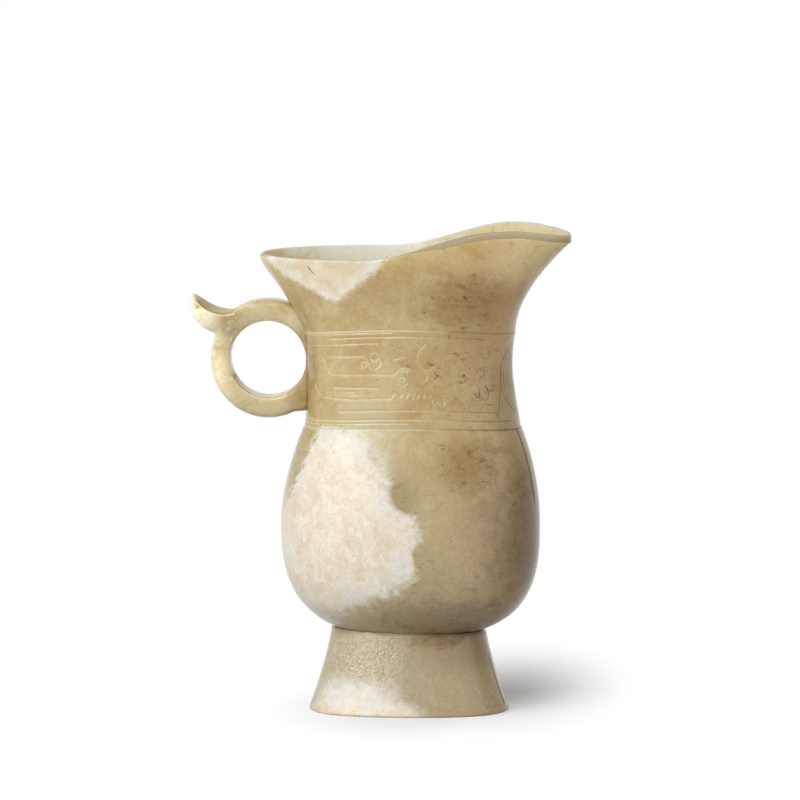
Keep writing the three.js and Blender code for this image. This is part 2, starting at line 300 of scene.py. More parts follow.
# Sections
def lean(level):
    """How far a section's middle lies towards the spout: a little at the belly, most at the neck's base."""
    belly = BELLY_LEAN * smoothstep(FOOT_HEIGHT, FOOT_HEIGHT + LEAN_START, level)
    above = (NECK_LEAN - BELLY_LEAN) * smoothstep(BELLY_WIDEST, NECK_BASE, level)
    return (belly + above) * (1 - smoothstep(NECK_BASE, NECK_WAIST, level))


def oval(turn, half_width, half_depth, level):
    """Plan of a section: a cosine wide and a sine deep, with the long sides flattened."""
    c = np.cos(turn)
    return half_width * c + lean(level), half_depth * np.sin(turn) * (1 + SIDE_FLATNESS * c**2)


def outward(turn, half_width, half_depth):
    """Plan normal of a section, square to its edge: the tangent turned by a right angle."""
    c = np.cos(turn)
    s = np.sin(turn)
    along_x = -half_width * s
    along_y = half_depth * (c * (1 + SIDE_FLATNESS * c**2) - 2 * SIDE_FLATNESS * c * s**2)
    length = np.hypot(along_x, along_y)
    return along_y / length, -along_x / length


def waver(x, y, z):
    """Grinding waves, shifted so that they only ever go inwards: between 0 and minus UNEVEN."""
    total = 0
    for strength, first, second in GRINDING_WAVES:
        total = total + strength * (wave(x, y, z, first) * wave(x, y, z, second) - 1)
    return UNEVEN * total


def layer(turn, half_width, half_depth, level, depth):
    """Rows of points at a level, sunk by depth along the plan normal.
    Half sizes and level are columns or grids."""
    x, y = oval(turn, half_width, half_depth, level)
    normal_x, normal_y = outward(turn, half_width, half_depth)
    level = np.broadcast_to(level, x.shape)
    sunk = depth - waver(x, y, level)
    return np.stack([x - normal_x * sunk, y - normal_y * sunk, level], axis=-1)


def plain(turn, half_width, half_depth, level):
    """Rows of points with no unevenness, for faces inside the stone and inside the vessel."""
    x, y = oval(turn, half_width, half_depth, level)
    return np.stack([x, y, np.broadcast_to(level, x.shape)], axis=-1)


def end_line(turn, y, apart):
    """1 in the line at the spout end, 0 elsewhere."""
    return bell(np.abs(y) - apart, LINE_WIDTH) * (np.cos(turn) > 0)


def low_border(turn):
    return LOW_BORDER + LOW_BORDER_RISE * np.sin(turn) ** 2


def high_border(turn):
    return HIGH_BORDER + HIGH_BORDER_RISE * np.sin(turn) ** 2


def seam_dirt_and_shade(x):
    """Border lines hold less dirt and painted shade towards the spout."""
    return mix(1, SEAM_DIRT_AND_SHADE, smoothstep(*SEAM_DIRT_AND_SHADE_FADE, x))


# Skins: grids of points whose columns close round the vessel.
def link(name, data):
    """A new object in the scene that shows the data."""
    piece = bpy.data.objects.new(name, data)
    bpy.context.scene.collection.objects.link(piece)
    return piece


def put_mark(mesh, mark, values):
    attribute = mesh.attributes.new(mark, "FLOAT", "POINT")
    attribute.data.foreach_set("value", np.asarray(values, np.float32))


def put_mesh(name, points, faces, **marks):
    """A smooth-shaded mesh object in metres, from points in millimetres about the foot's axis.
    A mark is a value for each point, which the material reads: worn is 1 deep in a cut, and lip is 1 at the
    inner side of the rim's edge."""
    mesh = bpy.data.meshes.new(name)
    placed = np.asarray(points) * MM + np.array([AXIS_X, 0, 0])
    mesh.from_pydata(placed.tolist(), [], faces)
    mesh.polygons.foreach_set("use_smooth", np.ones(len(mesh.polygons), bool))
    for mark, values in marks.items():
        put_mark(mesh, mark, values)
    mesh.update()
    return link(name, mesh)


def grid_faces(rows, columns, joined):
    """Quads of a grid whose columns close round. The last row joins the first where joined is true."""
    bands = rows if joined else rows - 1
    row, place = np.meshgrid(np.arange(bands), np.arange(columns), indexing="ij")
    above = (row + 1) % rows
    beside = (place + 1) % columns
    quads = np.stack([
        row * columns + place,
        row * columns + beside,
        above * columns + beside,
        above * columns + place,
    ], axis=-1)
    return quads.reshape(-1, 4).tolist()


def cap_faces(rows, columns, first, last):
    """Triangles that close the grid's first row with one point and its last row with another."""
    here = np.arange(columns)
    beside = (here + 1) % columns
    top = (rows - 1) * columns
    low = np.stack([np.full(columns, first), beside, here], axis=-1)
    high = np.stack([top + here, top + beside, np.full(columns, last)], axis=-1)
    return low.tolist() + high.tolist()


def skin(name, grid, poles=None, **marks):
    """A closed piece from a grid of rows that run up the outside and down the inside.
    With poles, a point closes the first row and another the last. Without, the last row joins the first."""
    rows, columns, _ = grid.shape
    points = grid.reshape(-1, 3)
    faces = grid_faces(rows, columns, poles is None)
    marks = {mark: values.reshape(-1) for mark, values in marks.items()}
    if poles is not None:
        faces += cap_faces(rows, columns, len(points), len(points) + 1)
        points = np.vstack([points, poles])
        marks = {mark: np.append(values, [0, 0]) for mark, values in marks.items()}
    return put_mesh(name, points, faces, **marks)


# Foot
def crease(turn):
    """Level of the crease over the foot, which climbs a little towards the handle."""
    return FOOT_HEIGHT + CREASE_CLIMB * (1 - np.cos(turn))


def crease_depth(turn):
    """The crease fades out at the handle end."""
    return CREASE_CUT * smoothstep(*CREASE_FADE, np.cos(turn))


def foot_half(level, axis, top=FOOT_HEIGHT):
    """Half size of the foot, which spreads downwards as a power of the height below its top."""
    spread = np.clip((top - level) / (top - FOOT_EDGE), 0, FLARE_END) ** FOOT_FLARE
    return mix(FOOT_TOP[axis], FOOT_BASE[axis], spread)


def make_foot():
    """The outside spreads down from the crease, and its lower edge is a quarter round.
    Under it a hollow follows the outside at a ring's width."""
    turn = crowded_angles(FOOT_COLUMNS, FOOT_LINES_CROWD)
    under = column(np.linspace(FOOT_RECESS, 0, RECESS_ROWS))
    recess = plain(turn, foot_half(under, WIDTH) - FOOT_RING, foot_half(under, DEPTH) - FOOT_RING, under)
    roll = column(np.linspace(-np.pi / 2, 0, FOOT_EDGE_ROWS))
    edge_in = UNEVEN + FOOT_EDGE * (1 - np.cos(roll))
    edge_level = FOOT_EDGE * (1 + np.sin(roll))
    edge = plain(turn, FOOT_BASE[WIDTH] - edge_in, FOOT_BASE[DEPTH] - edge_in, edge_level)
    share = column(stations(FOOT_ROWS + 1, FOOT_CROWD)[1:])
    top = crease(turn)
    level = mix(FOOT_EDGE, top, share)
    half_width = foot_half(level, WIDTH, top)
    half_depth = foot_half(level, DEPTH, top)
    _, y = oval(turn, half_width, half_depth, level)
    lines = end_line(turn, y, FOOT_LINE)
    lines = lines * smoothstep(*FOOT_LINE_END, level) * smoothstep(*FOOT_LINE_START, level)
    plinth = PLINTH_SHARE * bell(level - PLINTH_LEVEL, PLINTH_WIDTH) * smoothstep(*PLINTH_FADE, np.cos(turn))
    cut_width, tone_width = CREASE_ON_FOOT
    cut = crease_depth(turn) * bell(top - level, cut_width) + LINE_CUT * np.maximum(lines, plinth)
    outside = layer(turn, half_width, half_depth, level, cut)
    grid = np.concatenate([recess, edge, outside])
    worn = np.zeros(grid.shape[:2])
    # these marks take dirt and painted shade in the material, and a painted highlight where they lie towards
    # the handle
    worn[-len(share):] = np.maximum(bell(top - level, tone_width), np.maximum(lines, plinth / 2))
    poles = [[0, 0, FOOT_RECESS], [0, 0, FOOT_HEIGHT]]
    return skin("foot_stone", grid, poles, worn=worn)


# Belly
def bowl(level, bottom, fullness=BOWL_FULLNESS):
    """Share of the widest section at a level, on a superellipse that closes at bottom."""
    drop = np.clip((BELLY_WIDEST - level) / (BELLY_WIDEST - bottom), 0, 1)
    return (1 - drop**fullness) ** (1 / fullness)


def shoulder(level, widest, top):
    """Half size above the widest level, which falls to the neck's as a power of the climb."""
    climb = np.maximum((level - BELLY_WIDEST) / (NECK_BASE - BELLY_WIDEST), 0)
    return mix(widest, top, climb**SHOULDER_FALL)


def belly_half(level, axis, turn):
    """Half size of the belly's outside: the bowl from the crease to its widest level, the shoulder above."""
    fullness = BOWL_FULLNESS + BOWL_SKEW * np.cos(turn)
    edge = (FOOT_TOP[axis] - TUCK * np.cos(turn) ** 2) / BELLY_HALF[axis]
    drop = (1 - edge**fullness) ** (1 / fullness)
    closing = BELLY_WIDEST - (BELLY_WIDEST - crease(turn)) / drop
    above = shoulder(level, BELLY_HALF[axis], NECK_BASE_HALF[axis])
    return np.where(level > BELLY_WIDEST, above, BELLY_HALF[axis] * bowl(level, closing, fullness))


def belly_inside_half(level, axis):
    widest = BELLY_HALF[axis] - BELLY_WALL
    above = shoulder(level, widest, NECK_BASE_HALF[axis] - NECK_WALL)
    return np.where(level > BELLY_WIDEST, above, widest * bowl(level, BELLY_FLOOR))


def make_belly():
    """Outside rows climb from the crease to the lower border line, inside rows fall from it to the floor."""
    turn = crowded_angles(BELLY_COLUMNS, BELLY_LINES_CROWD)
    border = low_border(turn)
    bottom = crease(turn)
    lower = column(stations(BOWL_ROWS, BOWL_CROWD) ** BOWL_SPACING)
    upper = column(stations(SHOULDER_ROWS + 1, SHOULDER_CROWD)[1:])
    level = np.concatenate([mix(bottom, BELLY_WIDEST, lower), mix(BELLY_WIDEST, border, upper)])
    half_width = belly_half(level, WIDTH, turn)
    half_depth = belly_half(level, DEPTH, turn)
    _, y = oval(turn, half_width, half_depth, level)
    lines = end_line(turn, y, BELLY_LINE) * smoothstep(*BELLY_LINE_START, level)
    cut_width, tone_width = CREASE_ON_BELLY
    seam = bell(border - level, SEAM_WIDTH)
    cut = SEAM_CUT * seam + crease_depth(turn) * bell(level - bottom, cut_width) + LINE_CUT * lines
    outside = layer(turn, half_width, half_depth, level, cut)
    inner_top = mix(BELLY_WIDEST, border, column(np.linspace(1, 0, INNER_SHOULDER_ROWS)))
    falling = column(np.linspace(1, FLOOR_HOLE, INNER_BOWL_ROWS + 1)[1:] ** 2)
    inner_low = mix(BELLY_FLOOR, BELLY_WIDEST, falling)
    inner_low = np.broadcast_to(inner_low, (INNER_BOWL_ROWS, BELLY_COLUMNS))
    inner_level = np.concatenate([inner_top, inner_low])
    inner_width = belly_inside_half(inner_level, WIDTH)
    inner_depth = belly_inside_half(inner_level, DEPTH)
    inside = plain(turn, inner_width, inner_depth, inner_level)
    grid = np.concatenate([outside, inside])
    worn = np.zeros(grid.shape[:2])
    # the tone of the cuts: a painted highlight towards the handle, dirt and painted shade towards the spout
    # and in the crease
    cut_tone = BELLY_SEAM_TONE * bell(border - level, BELLY_SEAM_WIDTH) + bell(level - bottom, tone_width)
    worn[:len(level)] = np.maximum(cut_tone, lines)
    poles = [[0, 0, FOOT_HEIGHT], [lean(BELLY_FLOOR), 0, BELLY_FLOOR]]
    return skin("belly_stone", grid, poles, worn=worn)


# Neck band
def neck_half(level, axis):
    """Half size of the neck: a waist with a parabola to its base and another to its top."""
    low = ((NECK_WAIST - level) / (NECK_WAIST - NECK_BASE)) ** 2
    high = ((level - NECK_WAIST) / (NECK_TOP - NECK_WAIST)) ** 2
    below = mix(NECK_WAIST_HALF[axis], NECK_BASE_HALF[axis], low)
    above = mix(NECK_WAIST_HALF[axis], NECK_TOP_HALF[axis], high)
    return np.where(level > NECK_WAIST, above, below)


# The incised band is drawn on each broad side in millimetres: across from the foot's axis, with the spout to
# the right, and up from the lower border line, which is 0, to the upper one, which is BAND.
BAND = 24.0
RULES = (1.25, 2.1, 4.3, 20.9, 22.4, 23.5)
STROKE_CUT = 0.15
STROKE_WIDTH = 0.155
STROKE_STEPS = 8
RING_STEPS = 25
HATCH = (-0.9, -0.4, 0.1, 0.6)
TICKS = (-1, 0.5, 2, 3.2, 4.6, 6.1)
DROPS = ((7.2, 11.4), (8.6, 10.8))
ROUNDEL_LEVEL = 81.3
ROUNDEL_RADII = (9.4, 8.2, 7.0, 5.7, 4.4, 3.0)
ROUNDEL_FADE = (16, 15)  # the roundel is cut where X is past these, and counts as far off elsewhere
FAR_OFF = 50
ROUNDEL_SHADE = 0.26  # the dirt and painted shade in the roundel's rings spread past their cuts
ROUNDEL_DIRT_AND_SHADE = 0.7
WEAR = (0.75, 0.25)  # mean depth of a stroke and how far wear changes it
WEAR_WAVES = ((0.45, 0.3, 0.35, 0), (0.23, 0, -0.5, 1))


def line(*points):
    """A stroke straight from point to point."""
    return np.array(points, float)


def curve(*points):
    """A stroke that passes smoothly through its points, on a Catmull-Rom spline."""
    points = np.array(points, float)
    padded = np.vstack([2 * points[0] - points[1], points, 2 * points[-1] - points[-2]])
    before, start, end, after = padded[:-3], padded[1:-2], padded[2:-1], padded[3:]
    share = np.linspace(0, 1, STROKE_STEPS, endpoint=False)[:, None, None]
    bend = (2 * before - 5 * start + 4 * end - after) * share**2
    twist = (3 * start - before - 3 * end + after) * share**3
    spans = start + 0.5 * ((end - before) * share + bend + twist)
    return np.vstack([spans.transpose(1, 0, 2).reshape(-1, 2), points[-1:]])


def ring(across, up, wide, high=None, start=0, end=360):
    """An oval stroke about a point, or the part of it between two angles in degrees."""
    turn = np.radians(np.linspace(start, end, RING_STEPS))
    return np.stack([across + wide * np.cos(turn), up + (high or wide) * np.sin(turn)], axis=1)


def band_strokes():
    """Border rules, two brackets with scrolls, a loop, ticks and drops, as on the bands of old bronzes."""
    lowest, low, inner_low, inner_high, high, highest = RULES
    rules = [
        line((-24, highest), (-3, highest)),
        line((-18.4, high), (19, high)),
        line((-23, inner_high), (-6.5, inner_high)),
        curve((-16, inner_low), (2, inner_low), (20.4, inner_low), (21.7, 3.9), (22.4, 2.8)),
        line((-25, low), (25, low)),
        line((-25, lowest), (1, lowest)),
        line((22.4, low), (22.5, 7), (22.7, 16.5)),
    ]
    upper_bracket = [
        line((-20.1, 17.7), (-18.1, 13.5), (-2.6, 13)),
        line((-19.1, 17.9), (-10.2, 17.8)),
        ring(-9.9, 15.8, 0.7),
        ring(-7.4, 17.6, 1.0),
        curve((-5.9, 16.6), (-6.1, 15.3), (-7.1, 14.5)),
        curve((-10.2, 17.8), (-9.2, 16.9), (-8.6, 15.3), (-8, 14.6)),
    ]
    lower_bracket = [
        curve((-22.1, 11.3), (-21.6, 9.6), (-20.3, 7.9)),
        line((-20.3, 7.8), (-12.6, 7.1), (-4.9, 7.2)),
        curve((-4.9, 7.2), (-3.4, 7.3), (-2.6, 8.4)),
        line((-17.2, 10.2), (-6.5, 9.8)),
        line((-14.1, 9), (-12.2, 9)),
        line((-13.2, 8.3), (-11.4, 8.3)),
    ]
    scrolls = [
        line((-2.8, 16.8), (-0.1, 17.5)),
        curve((-2.6, 13), (-2, 13.5), (-1.2, 14.6), (0.8, 14.7)),
        curve((-2, 11.8), (-1.2, 10.5), (-0.1, 10.3), (0.6, 11.1)),
        ring(-0.7, 11.9, 0.55),
        curve((4.9, 20.8), (3.4, 19), (2.9, 16.8), (3.8, 14.9), (5.3, 14.3), (6.6, 14.9), (7.1, 15.8)),
        curve((4.7, 14.3), (5.3, 13), (5, 11.8), (4.1, 11.4)),
        ring(7.2, 6.5, 0.55),
        ring(9, 6.5, 0.5, 0.8, -100, 90),
        curve((10.4, 13), (11, 13.8), (11.4, 11.7), (14.2, 11.6), (15.4, 12.4)),
        ring(19.2, 18.9, 0.95, 1.35),
        curve((17.1, 14), (17.7, 14.9), (18.9, 14.8), (19.2, 12.7)),
        curve((17.8, 10.5), (18, 8.9), (18.7, 7.7), (19.6, 7.5), (20.1, 8.9), (19.4, 11.1)),
        line((14.7, 7.2), (18.4, 7.3)),
    ]
    hatch = [line((across, 14.7), (across - 0.1, 13.8)) for across in HATCH]
    ticks = [line((across - 0.2, 7.5), (across + 0.2, 8.2)) for across in TICKS]
    drops = [line((across - 0.2, up - 0.3), (across + 0.1, up + 0.3)) for across, up in DROPS]
    return rules + upper_bracket + lower_bracket + scrolls + hatch + ticks + drops


def roundel_strokes():
    """Rings within each other under the spout, in millimetres from its middle and up from the floor."""
    return [ring(0, ROUNDEL_LEVEL, radius) for radius in ROUNDEL_RADII]


def nearest(across, up, strokes):
    """Distance from each point to the nearest stroke, stretch by stretch for all points at once."""
    least = np.full(across.shape, np.inf)
    for stroke in strokes:
        for (x0, y0), (x1, y1) in zip(stroke[:-1], stroke[1:]):
            run = x1 - x0
            rise = y1 - y0
            share = np.clip(((across - x0) * run + (up - y0) * rise) / (run**2 + rise**2), 0, 1)
            gap = (across - x0 - share * run)**2 + (up - y0 - share * rise)**2
            least = np.minimum(least, gap)
    return np.sqrt(least)


def make_neck():
    """The waist with its incised band: each stroke is a groove with a bell-shaped section, shallower where it
    is worn. The band is the same on both broad sides."""
    turn = crowded_angles(NECK_COLUMNS, NECK_TURN_CROWD)
    low = low_border(turn)
    high = high_border(turn)
    share = column(stations(NECK_ROWS, NECK_CROWD + [(up / BAND, *RULE_CROWD) for up in RULES]))
    level = mix(low, high, share)
    half_width = neck_half(level, WIDTH)
    half_depth = neck_half(level, DEPTH)
    x, y = oval(turn, half_width, half_depth, level)
    up = np.broadcast_to(share * BAND, x.shape)
    strokes = nearest(x, up, band_strokes())
    rings = nearest(y, level, roundel_strokes()) + FAR_OFF * smoothstep(*ROUNDEL_FADE, x)
    mean_wear, change = WEAR
    wear = mean_wear + change * wave(x, y, up, WEAR_WAVES[0]) * wave(x, y, up, WEAR_WAVES[1])
    groove = np.maximum(bell(strokes, STROKE_WIDTH), bell(rings, STROKE_WIDTH)) * wear
    seams = bell(level - low, SEAM_WIDTH) + bell(high - level, SEAM_WIDTH)
    outside = layer(turn, half_width, half_depth, level, SEAM_CUT * seams + STROKE_CUT * groove)
    inner_level = mix(low, high, column(np.linspace(1, 0, INNER_NECK_ROWS)))
    inner_width = neck_half(inner_level, WIDTH) - NECK_WALL
    inner_depth = neck_half(inner_level, DEPTH) - NECK_WALL
    inside = plain(turn, inner_width, inner_depth, inner_level)
    grid = np.concatenate([outside, inside])
    worn = np.zeros(grid.shape[:2])
    # the tone of the cuts: a painted highlight towards the handle, dirt and painted shade towards the spout
    cut_tone = np.maximum(groove, ROUNDEL_DIRT_AND_SHADE * wear * bell(rings, ROUNDEL_SHADE))
    worn[:len(level)] = np.clip(np.maximum(seams * seam_dirt_and_shade(x), cut_tone), 0, 1)
    return skin("neck_stone", grid, worn=worn)


# Mouth
def rim_level(turn):
    """The rim is level over the handle, climbs on an S curve to the spout's shoulders and dips to its tip."""
    c = np.cos(turn + RIM_SKEW)
    dip = np.clip((c - DIP_FROM) / (1 - DIP_FROM), 0, 1) ** DIP_CURVE
    return RIM_LEVEL + SPOUT_RISE * smoothstep(*RISE_FADE, c) - SPOUT_DIP * dip


def lip_width(turn):
    """The cut edge is broad round the spout and thin over the handle."""
    return LIP * mix(LIP_BACK, 1, smoothstep(*LIP_FADE, np.cos(turn)))


def lip_plan(turn, inset):
    """The lip seen from above: an egg whose narrow end is the spout."""
    half_length = (SPOUT_REACH + BACK_REACH) / 2 - inset
    x = (SPOUT_REACH - BACK_REACH) / 2 + half_length * np.cos(turn)
    return x, (MOUTH_HALF_DEPTH - inset) * np.sin(turn) * (1 - MOUTH_TAPER * np.cos(turn))


def lip_turn(turn):
    """How far the cut edge leans out: little on the sides, more at the spout's shoulders, most at its tip."""
    c = np.cos(turn)
    side = mix(SIDE_TURN, SHOULDER_TURN, smoothstep(*SHOULDER_FADE, c))
    tip = mix(side, TIP_TURN, smoothstep(*TIP_FADE, c))
    return np.radians(mix(tip, BACK_TURN, smoothstep(*BACK_FADE, c)))


def mouth_rows(turn, share, inner):
    """The neck's top section drawn out to the lip: the way out is a power of the way up, stronger at the
    spout, with a rounding close under the rim over the handle."""
    tilt = lip_turn(turn)
    border = high_border(turn)
    wall = NECK_WALL if inner else 0
    root_x, root_y = oval(turn, neck_half(border, WIDTH) - wall, neck_half(border, DEPTH) - wall, border)
    crown = LIP_SOFT * np.sin(tilt)
    width = lip_width(turn)
    edge_x, edge_y = lip_plan(turn, crown + (width * np.cos(tilt) if inner else 0))
    top = rim_level(turn) - LIP_SOFT * np.cos(tilt) - (0 if inner else width * np.sin(tilt))
    rounded = BACK_ROUND * smoothstep(*BACK_ROUND_FADE, np.cos(turn))
    drawn = share ** (SIDE_CURL + END_CURL * np.cos(turn)) + rounded * share**BACK_ROUND_POWER * (1 - share)
    x = mix(root_x, edge_x, drawn)
    y = mix(root_y, edge_y, drawn)
    return np.stack([x, y, mix(border, top, share)], axis=-1)


def make_mouth():
    """Outside rows climb to the lip, a rounded cut edge joins them to the inside rows, and those fall to the
    neck. The corner between the outside and the edge is then smoothed a little."""
    turn = round_angles(MOUTH_COLUMNS)
    border = high_border(turn)
    share = column(stations(MOUTH_ROWS, MOUTH_CROWD))
    outside = mouth_rows(turn, share, False)
    inside = mouth_rows(turn, column(stations(INNER_MOUTH_ROWS, INNER_MOUTH_CROWD)[::-1]), True)
    normal_x, normal_y = outward(turn, neck_half(border, WIDTH), neck_half(border, DEPTH))
    x, y, z = np.moveaxis(outside, -1, 0)
    seam = bell(z - border, SEAM_WIDTH)
    sunk = SEAM_CUT * seam - waver(x, y, z) * (1 - share**MOUTH_EVEN)
    outside = outside - np.stack([normal_x * sunk, normal_y * sunk, 0 * sunk], axis=-1)
    middle = (outside[-1] + inside[0]) / 2
    half = (outside[-1] - inside[0]) / 2
    rising = (outside[-1] - outside[-4]) + (inside[0] - inside[3])
    rising = rising / np.linalg.norm(rising, axis=-1, keepdims=True)
    roll = np.linspace(0, np.pi, LIP_ROWS + 2)[1:-1, None, None]
    flat = np.sign(np.cos(roll)) * np.abs(np.cos(roll)) ** LIP_SQUARE
    crown = LIP_SOFT * np.sin(roll) ** LIP_SQUARE
    edge = middle + flat * half + crown * rising
    grid = np.concatenate([outside, edge, inside])
    first = MOUTH_ROWS - CORNER_ROWS
    last = MOUTH_ROWS + CORNER_ROWS
    for _ in range(CORNER_ROUNDS):
        between = (grid[first - 1:last - 1] + grid[first + 1:last + 1]) / 2
        grid[first:last] = (grid[first:last] + between) / 2
    worn = np.zeros(grid.shape[:2])
    worn[:MOUTH_ROWS] = np.clip(seam * seam_dirt_and_shade(outside[..., 0]), 0, 1)
    lip = np.zeros(grid.shape[:2])
    lip[MOUTH_ROWS:MOUTH_ROWS + LIP_ROWS] = column(np.linspace(LIP_MARK_START, 1, LIP_ROWS))
    return skin("mouth_stone", grid, worn=worn, lip=lip)


# Handle
def squared(turn, power):
    """Cosine and sine of a turn, squared off so that a section runs from round (2) towards an oblong.
    power may be one number or one for each turn."""
    c = np.cos(turn)
    s = np.sin(turn)
    return np.sign(c) * np.abs(c) ** (2 / power), np.sign(s) * np.abs(s) ** (2 / power)


def ring_grid():
    """A bar of squared section carried round the bore. Near the neck it swells below and is held inside the
    wall, and under the thumb rest it is deeper and sharper."""
    turn = column(round_angles(RING_ROWS))
    degrees = np.degrees((turn + np.pi) % (2 * np.pi) - np.pi)
    to_neck = np.cos(turn)
    swell = RING_SWELL * smoothstep(*SWELL_START, degrees) * smoothstep(*SWELL_END, degrees)
    outer = BORE + BAR + RING_OVAL * np.sin(turn) ** 2 + swell
    inside_wall = (WALL_PLANE - RING_X) / np.maximum(to_neck, LEAST_COSINE)
    outer = np.where(to_neck > LEAST_COSINE, np.minimum(outer, inside_wall), outer)
    section = round_angles(HANDLE_COLUMNS)
    sharp = smoothstep(*SHARP_START, degrees) * smoothstep(*SHARP_END, degrees)
    power = np.where(np.cos(section) > 0, mix(OUTER_SQUARE, BORE_SQUARE, sharp), BORE_SQUARE)
    c, s = squared(section, power)
    radius = (outer + BORE) / 2 + (outer - BORE) / 2 * c
    half_depth = BAR_DEPTH / 2 + NECK_SPREAD * smoothstep(*NECK_SPREAD_FADE, to_neck)
    under_thumb = THUMB_SPREAD * smoothstep(*SPREAD_START, degrees) * smoothstep(*SPREAD_END, degrees)
    half_depth = half_depth + under_thumb * ((1 + c) / 2) ** SPREAD_POWER
    return np.stack([RING_X + radius * to_neck, half_depth * s, RING_Z + radius * np.sin(turn)], axis=-1)


def cubic(points, share):
    """A cubic curve drawn from its four points."""
    first, second, third, last = np.array(points, float)
    rest = 1 - share
    return rest**3 * first + 3 * rest**2 * share * second + 3 * rest * share**2 * third + share**3 * last


def thumb_grid():
    """A claw between an upper and a lower curve, which broadens as it leaves the ring and rounds off at its
    tip. Its upper face is dished: it falls on an S curve from each side towards the middle."""
    share = column(stations(THUMB_ROWS, THUMB_CROWD))
    upper = cubic(THUMB_UPPER, share)
    lower = cubic(THUMB_LOWER, share)
    centre = (upper + lower) / 2
    half = (upper - lower) / 2
    broad = mix(BAR_DEPTH, THUMB_WIDTH, smoothstep(*THUMB_BROADENS, share))
    past = np.clip((share - TIP_FROM) / (1 - TIP_FROM), 0, 1)
    half_width = broad / 2 * np.sqrt(1 - TIP_NARROWS * past**TIP_POWER)
    c, s = squared(round_angles(HANDLE_COLUMNS), THUMB_SQUARE)
    thick = np.linalg.norm(half, axis=1, keepdims=True)
    dish = THUMB_DISH * smoothstep(*DISH_START, share) * smoothstep(*DISH_END, share)
    reach = c - dish / thick * smoothstep(*DISH_TOP, c) * smoothstep(*DISH_SIDE, np.abs(s))
    return np.stack([
        centre[:, :1] + half[:, :1] * reach,
        half_width * s,
        centre[:, 1:] + half[:, 1:] * reach,
    ], axis=-1)


def fused_handle():
    """The mesh of the ring and the claw, made one stone by a fine voxel remesh."""
    bar = ring_grid()
    claw = thumb_grid()
    bar_points = bar.reshape(-1, 3)
    claw_points = np.vstack([claw.reshape(-1, 3), claw[0].mean(axis=0), claw[-1].mean(axis=0)])
    claw_count = THUMB_ROWS * HANDLE_COLUMNS
    bar_faces = grid_faces(RING_ROWS, HANDLE_COLUMNS, True)
    claw_faces = grid_faces(THUMB_ROWS, HANDLE_COLUMNS, False)
    claw_faces += cap_faces(THUMB_ROWS, HANDLE_COLUMNS, claw_count, claw_count + 1)
    base = len(bar_points)
    moved = [[base + corner for corner in face] for face in claw_faces]
    rough = put_mesh("handle_rough", np.vstack([bar_points, claw_points]), bar_faces + moved)
    fuse = rough.modifiers.new("fuse", "REMESH")
    fuse.mode = "VOXEL"
    fuse.voxel_size = VOXEL * MM
    shown = rough.evaluated_get(bpy.context.evaluated_depsgraph_get())
    mesh = bpy.data.meshes.new_from_object(shown)
    bpy.data.objects.remove(rough)
    mesh.name = "handle_stone"
    mesh.polygons.foreach_set("use_smooth", np.ones(len(mesh.polygons), bool))
    return mesh


def read(items, what, width, kind=float):
    """One property of all the points or edges of a mesh, with a row for each."""
    values = np.empty(width * len(items), kind)
    items.foreach_get(what, values)
    return values.reshape(-1, width)


def relax(places, ends, share, rounds):
    """Smooth a mesh: in each round a point goes its share of half the way to the mean of its neighbours."""
    here = np.concatenate([ends[:, 0], ends[:, 1]])
    there = np.concatenate([ends[:, 1], ends[:, 0]])
    count = np.bincount(here, minlength=len(places))
    places = places.copy()
    for _ in range(rounds):
        for axis in range(places.shape[1]):
            mean = np.bincount(here, places[there, axis], len(places)) / count
            places[:, axis] = mix(places[:, axis], mean, 0.5 * share)
    return places


def aside(places, point):
    """Distance of each place from a point in the side view, in millimetres."""
    return np.hypot(places[:, 0] - AXIS_X - point[0] * MM, places[:, 2] - point[1] * MM) / MM


def make_handle():
    """The fused ring and claw, smoothed most where they join and at the tip. The broad faces are smoothed in
    their depth alone, so that the claw's side runs out into the ring's. Ridges are marked where points stand
    proud."""
    mesh = fused_handle()
    places = read(mesh.vertices, "co", 3)
    ends = read(mesh.edges, "vertices", 2, int)
    sideways = np.abs(read(mesh.vertices, "normal", 3)[:, 1])
    from_join = aside(places, THUMB_JOIN)
    broad_face = smoothstep(*SIDE_FACING, sideways) * smoothstep(*SIDE_AREA, from_join)
    everywhere = np.ones(len(places))
    places = relax(places, ends, everywhere, ALL_ROUNDS)
    places[:, 1:2] = relax(places[:, 1:2], ends, broad_face, SIDE_ROUNDS)
    places = relax(places, ends, bell(from_join, JOIN_AREA), JOIN_ROUNDS)
    places = relax(places, ends, bell(aside(places, THUMB_TIP), TIP_AREA), TIP_ROUNDS)
    mesh.vertices.foreach_set("co", places.reshape(-1))
    mesh.update()
    # The ridge mark takes a painted highlight in the material.
    flattened = relax(places, ends, everywhere, RIDGE_ROUNDS)
    proud = ((places - flattened) * read(mesh.vertices, "normal", 3)).sum(axis=1) / MM
    put_mark(mesh, "ridge", smoothstep(*RIDGE_PROUD, proud))
    return link("handle_stone", mesh)


# Material
def ink(red, green, blue):
    """A colour as seen on screen, 0 to 255, made linear."""
    seen = np.array([red, green, blue]) / 255
    linear = np.where(seen <= 0.04045, seen / 12.92, ((seen + 0.055) / 1.055) ** 2.4)
    return (*linear.tolist(), 1.0)


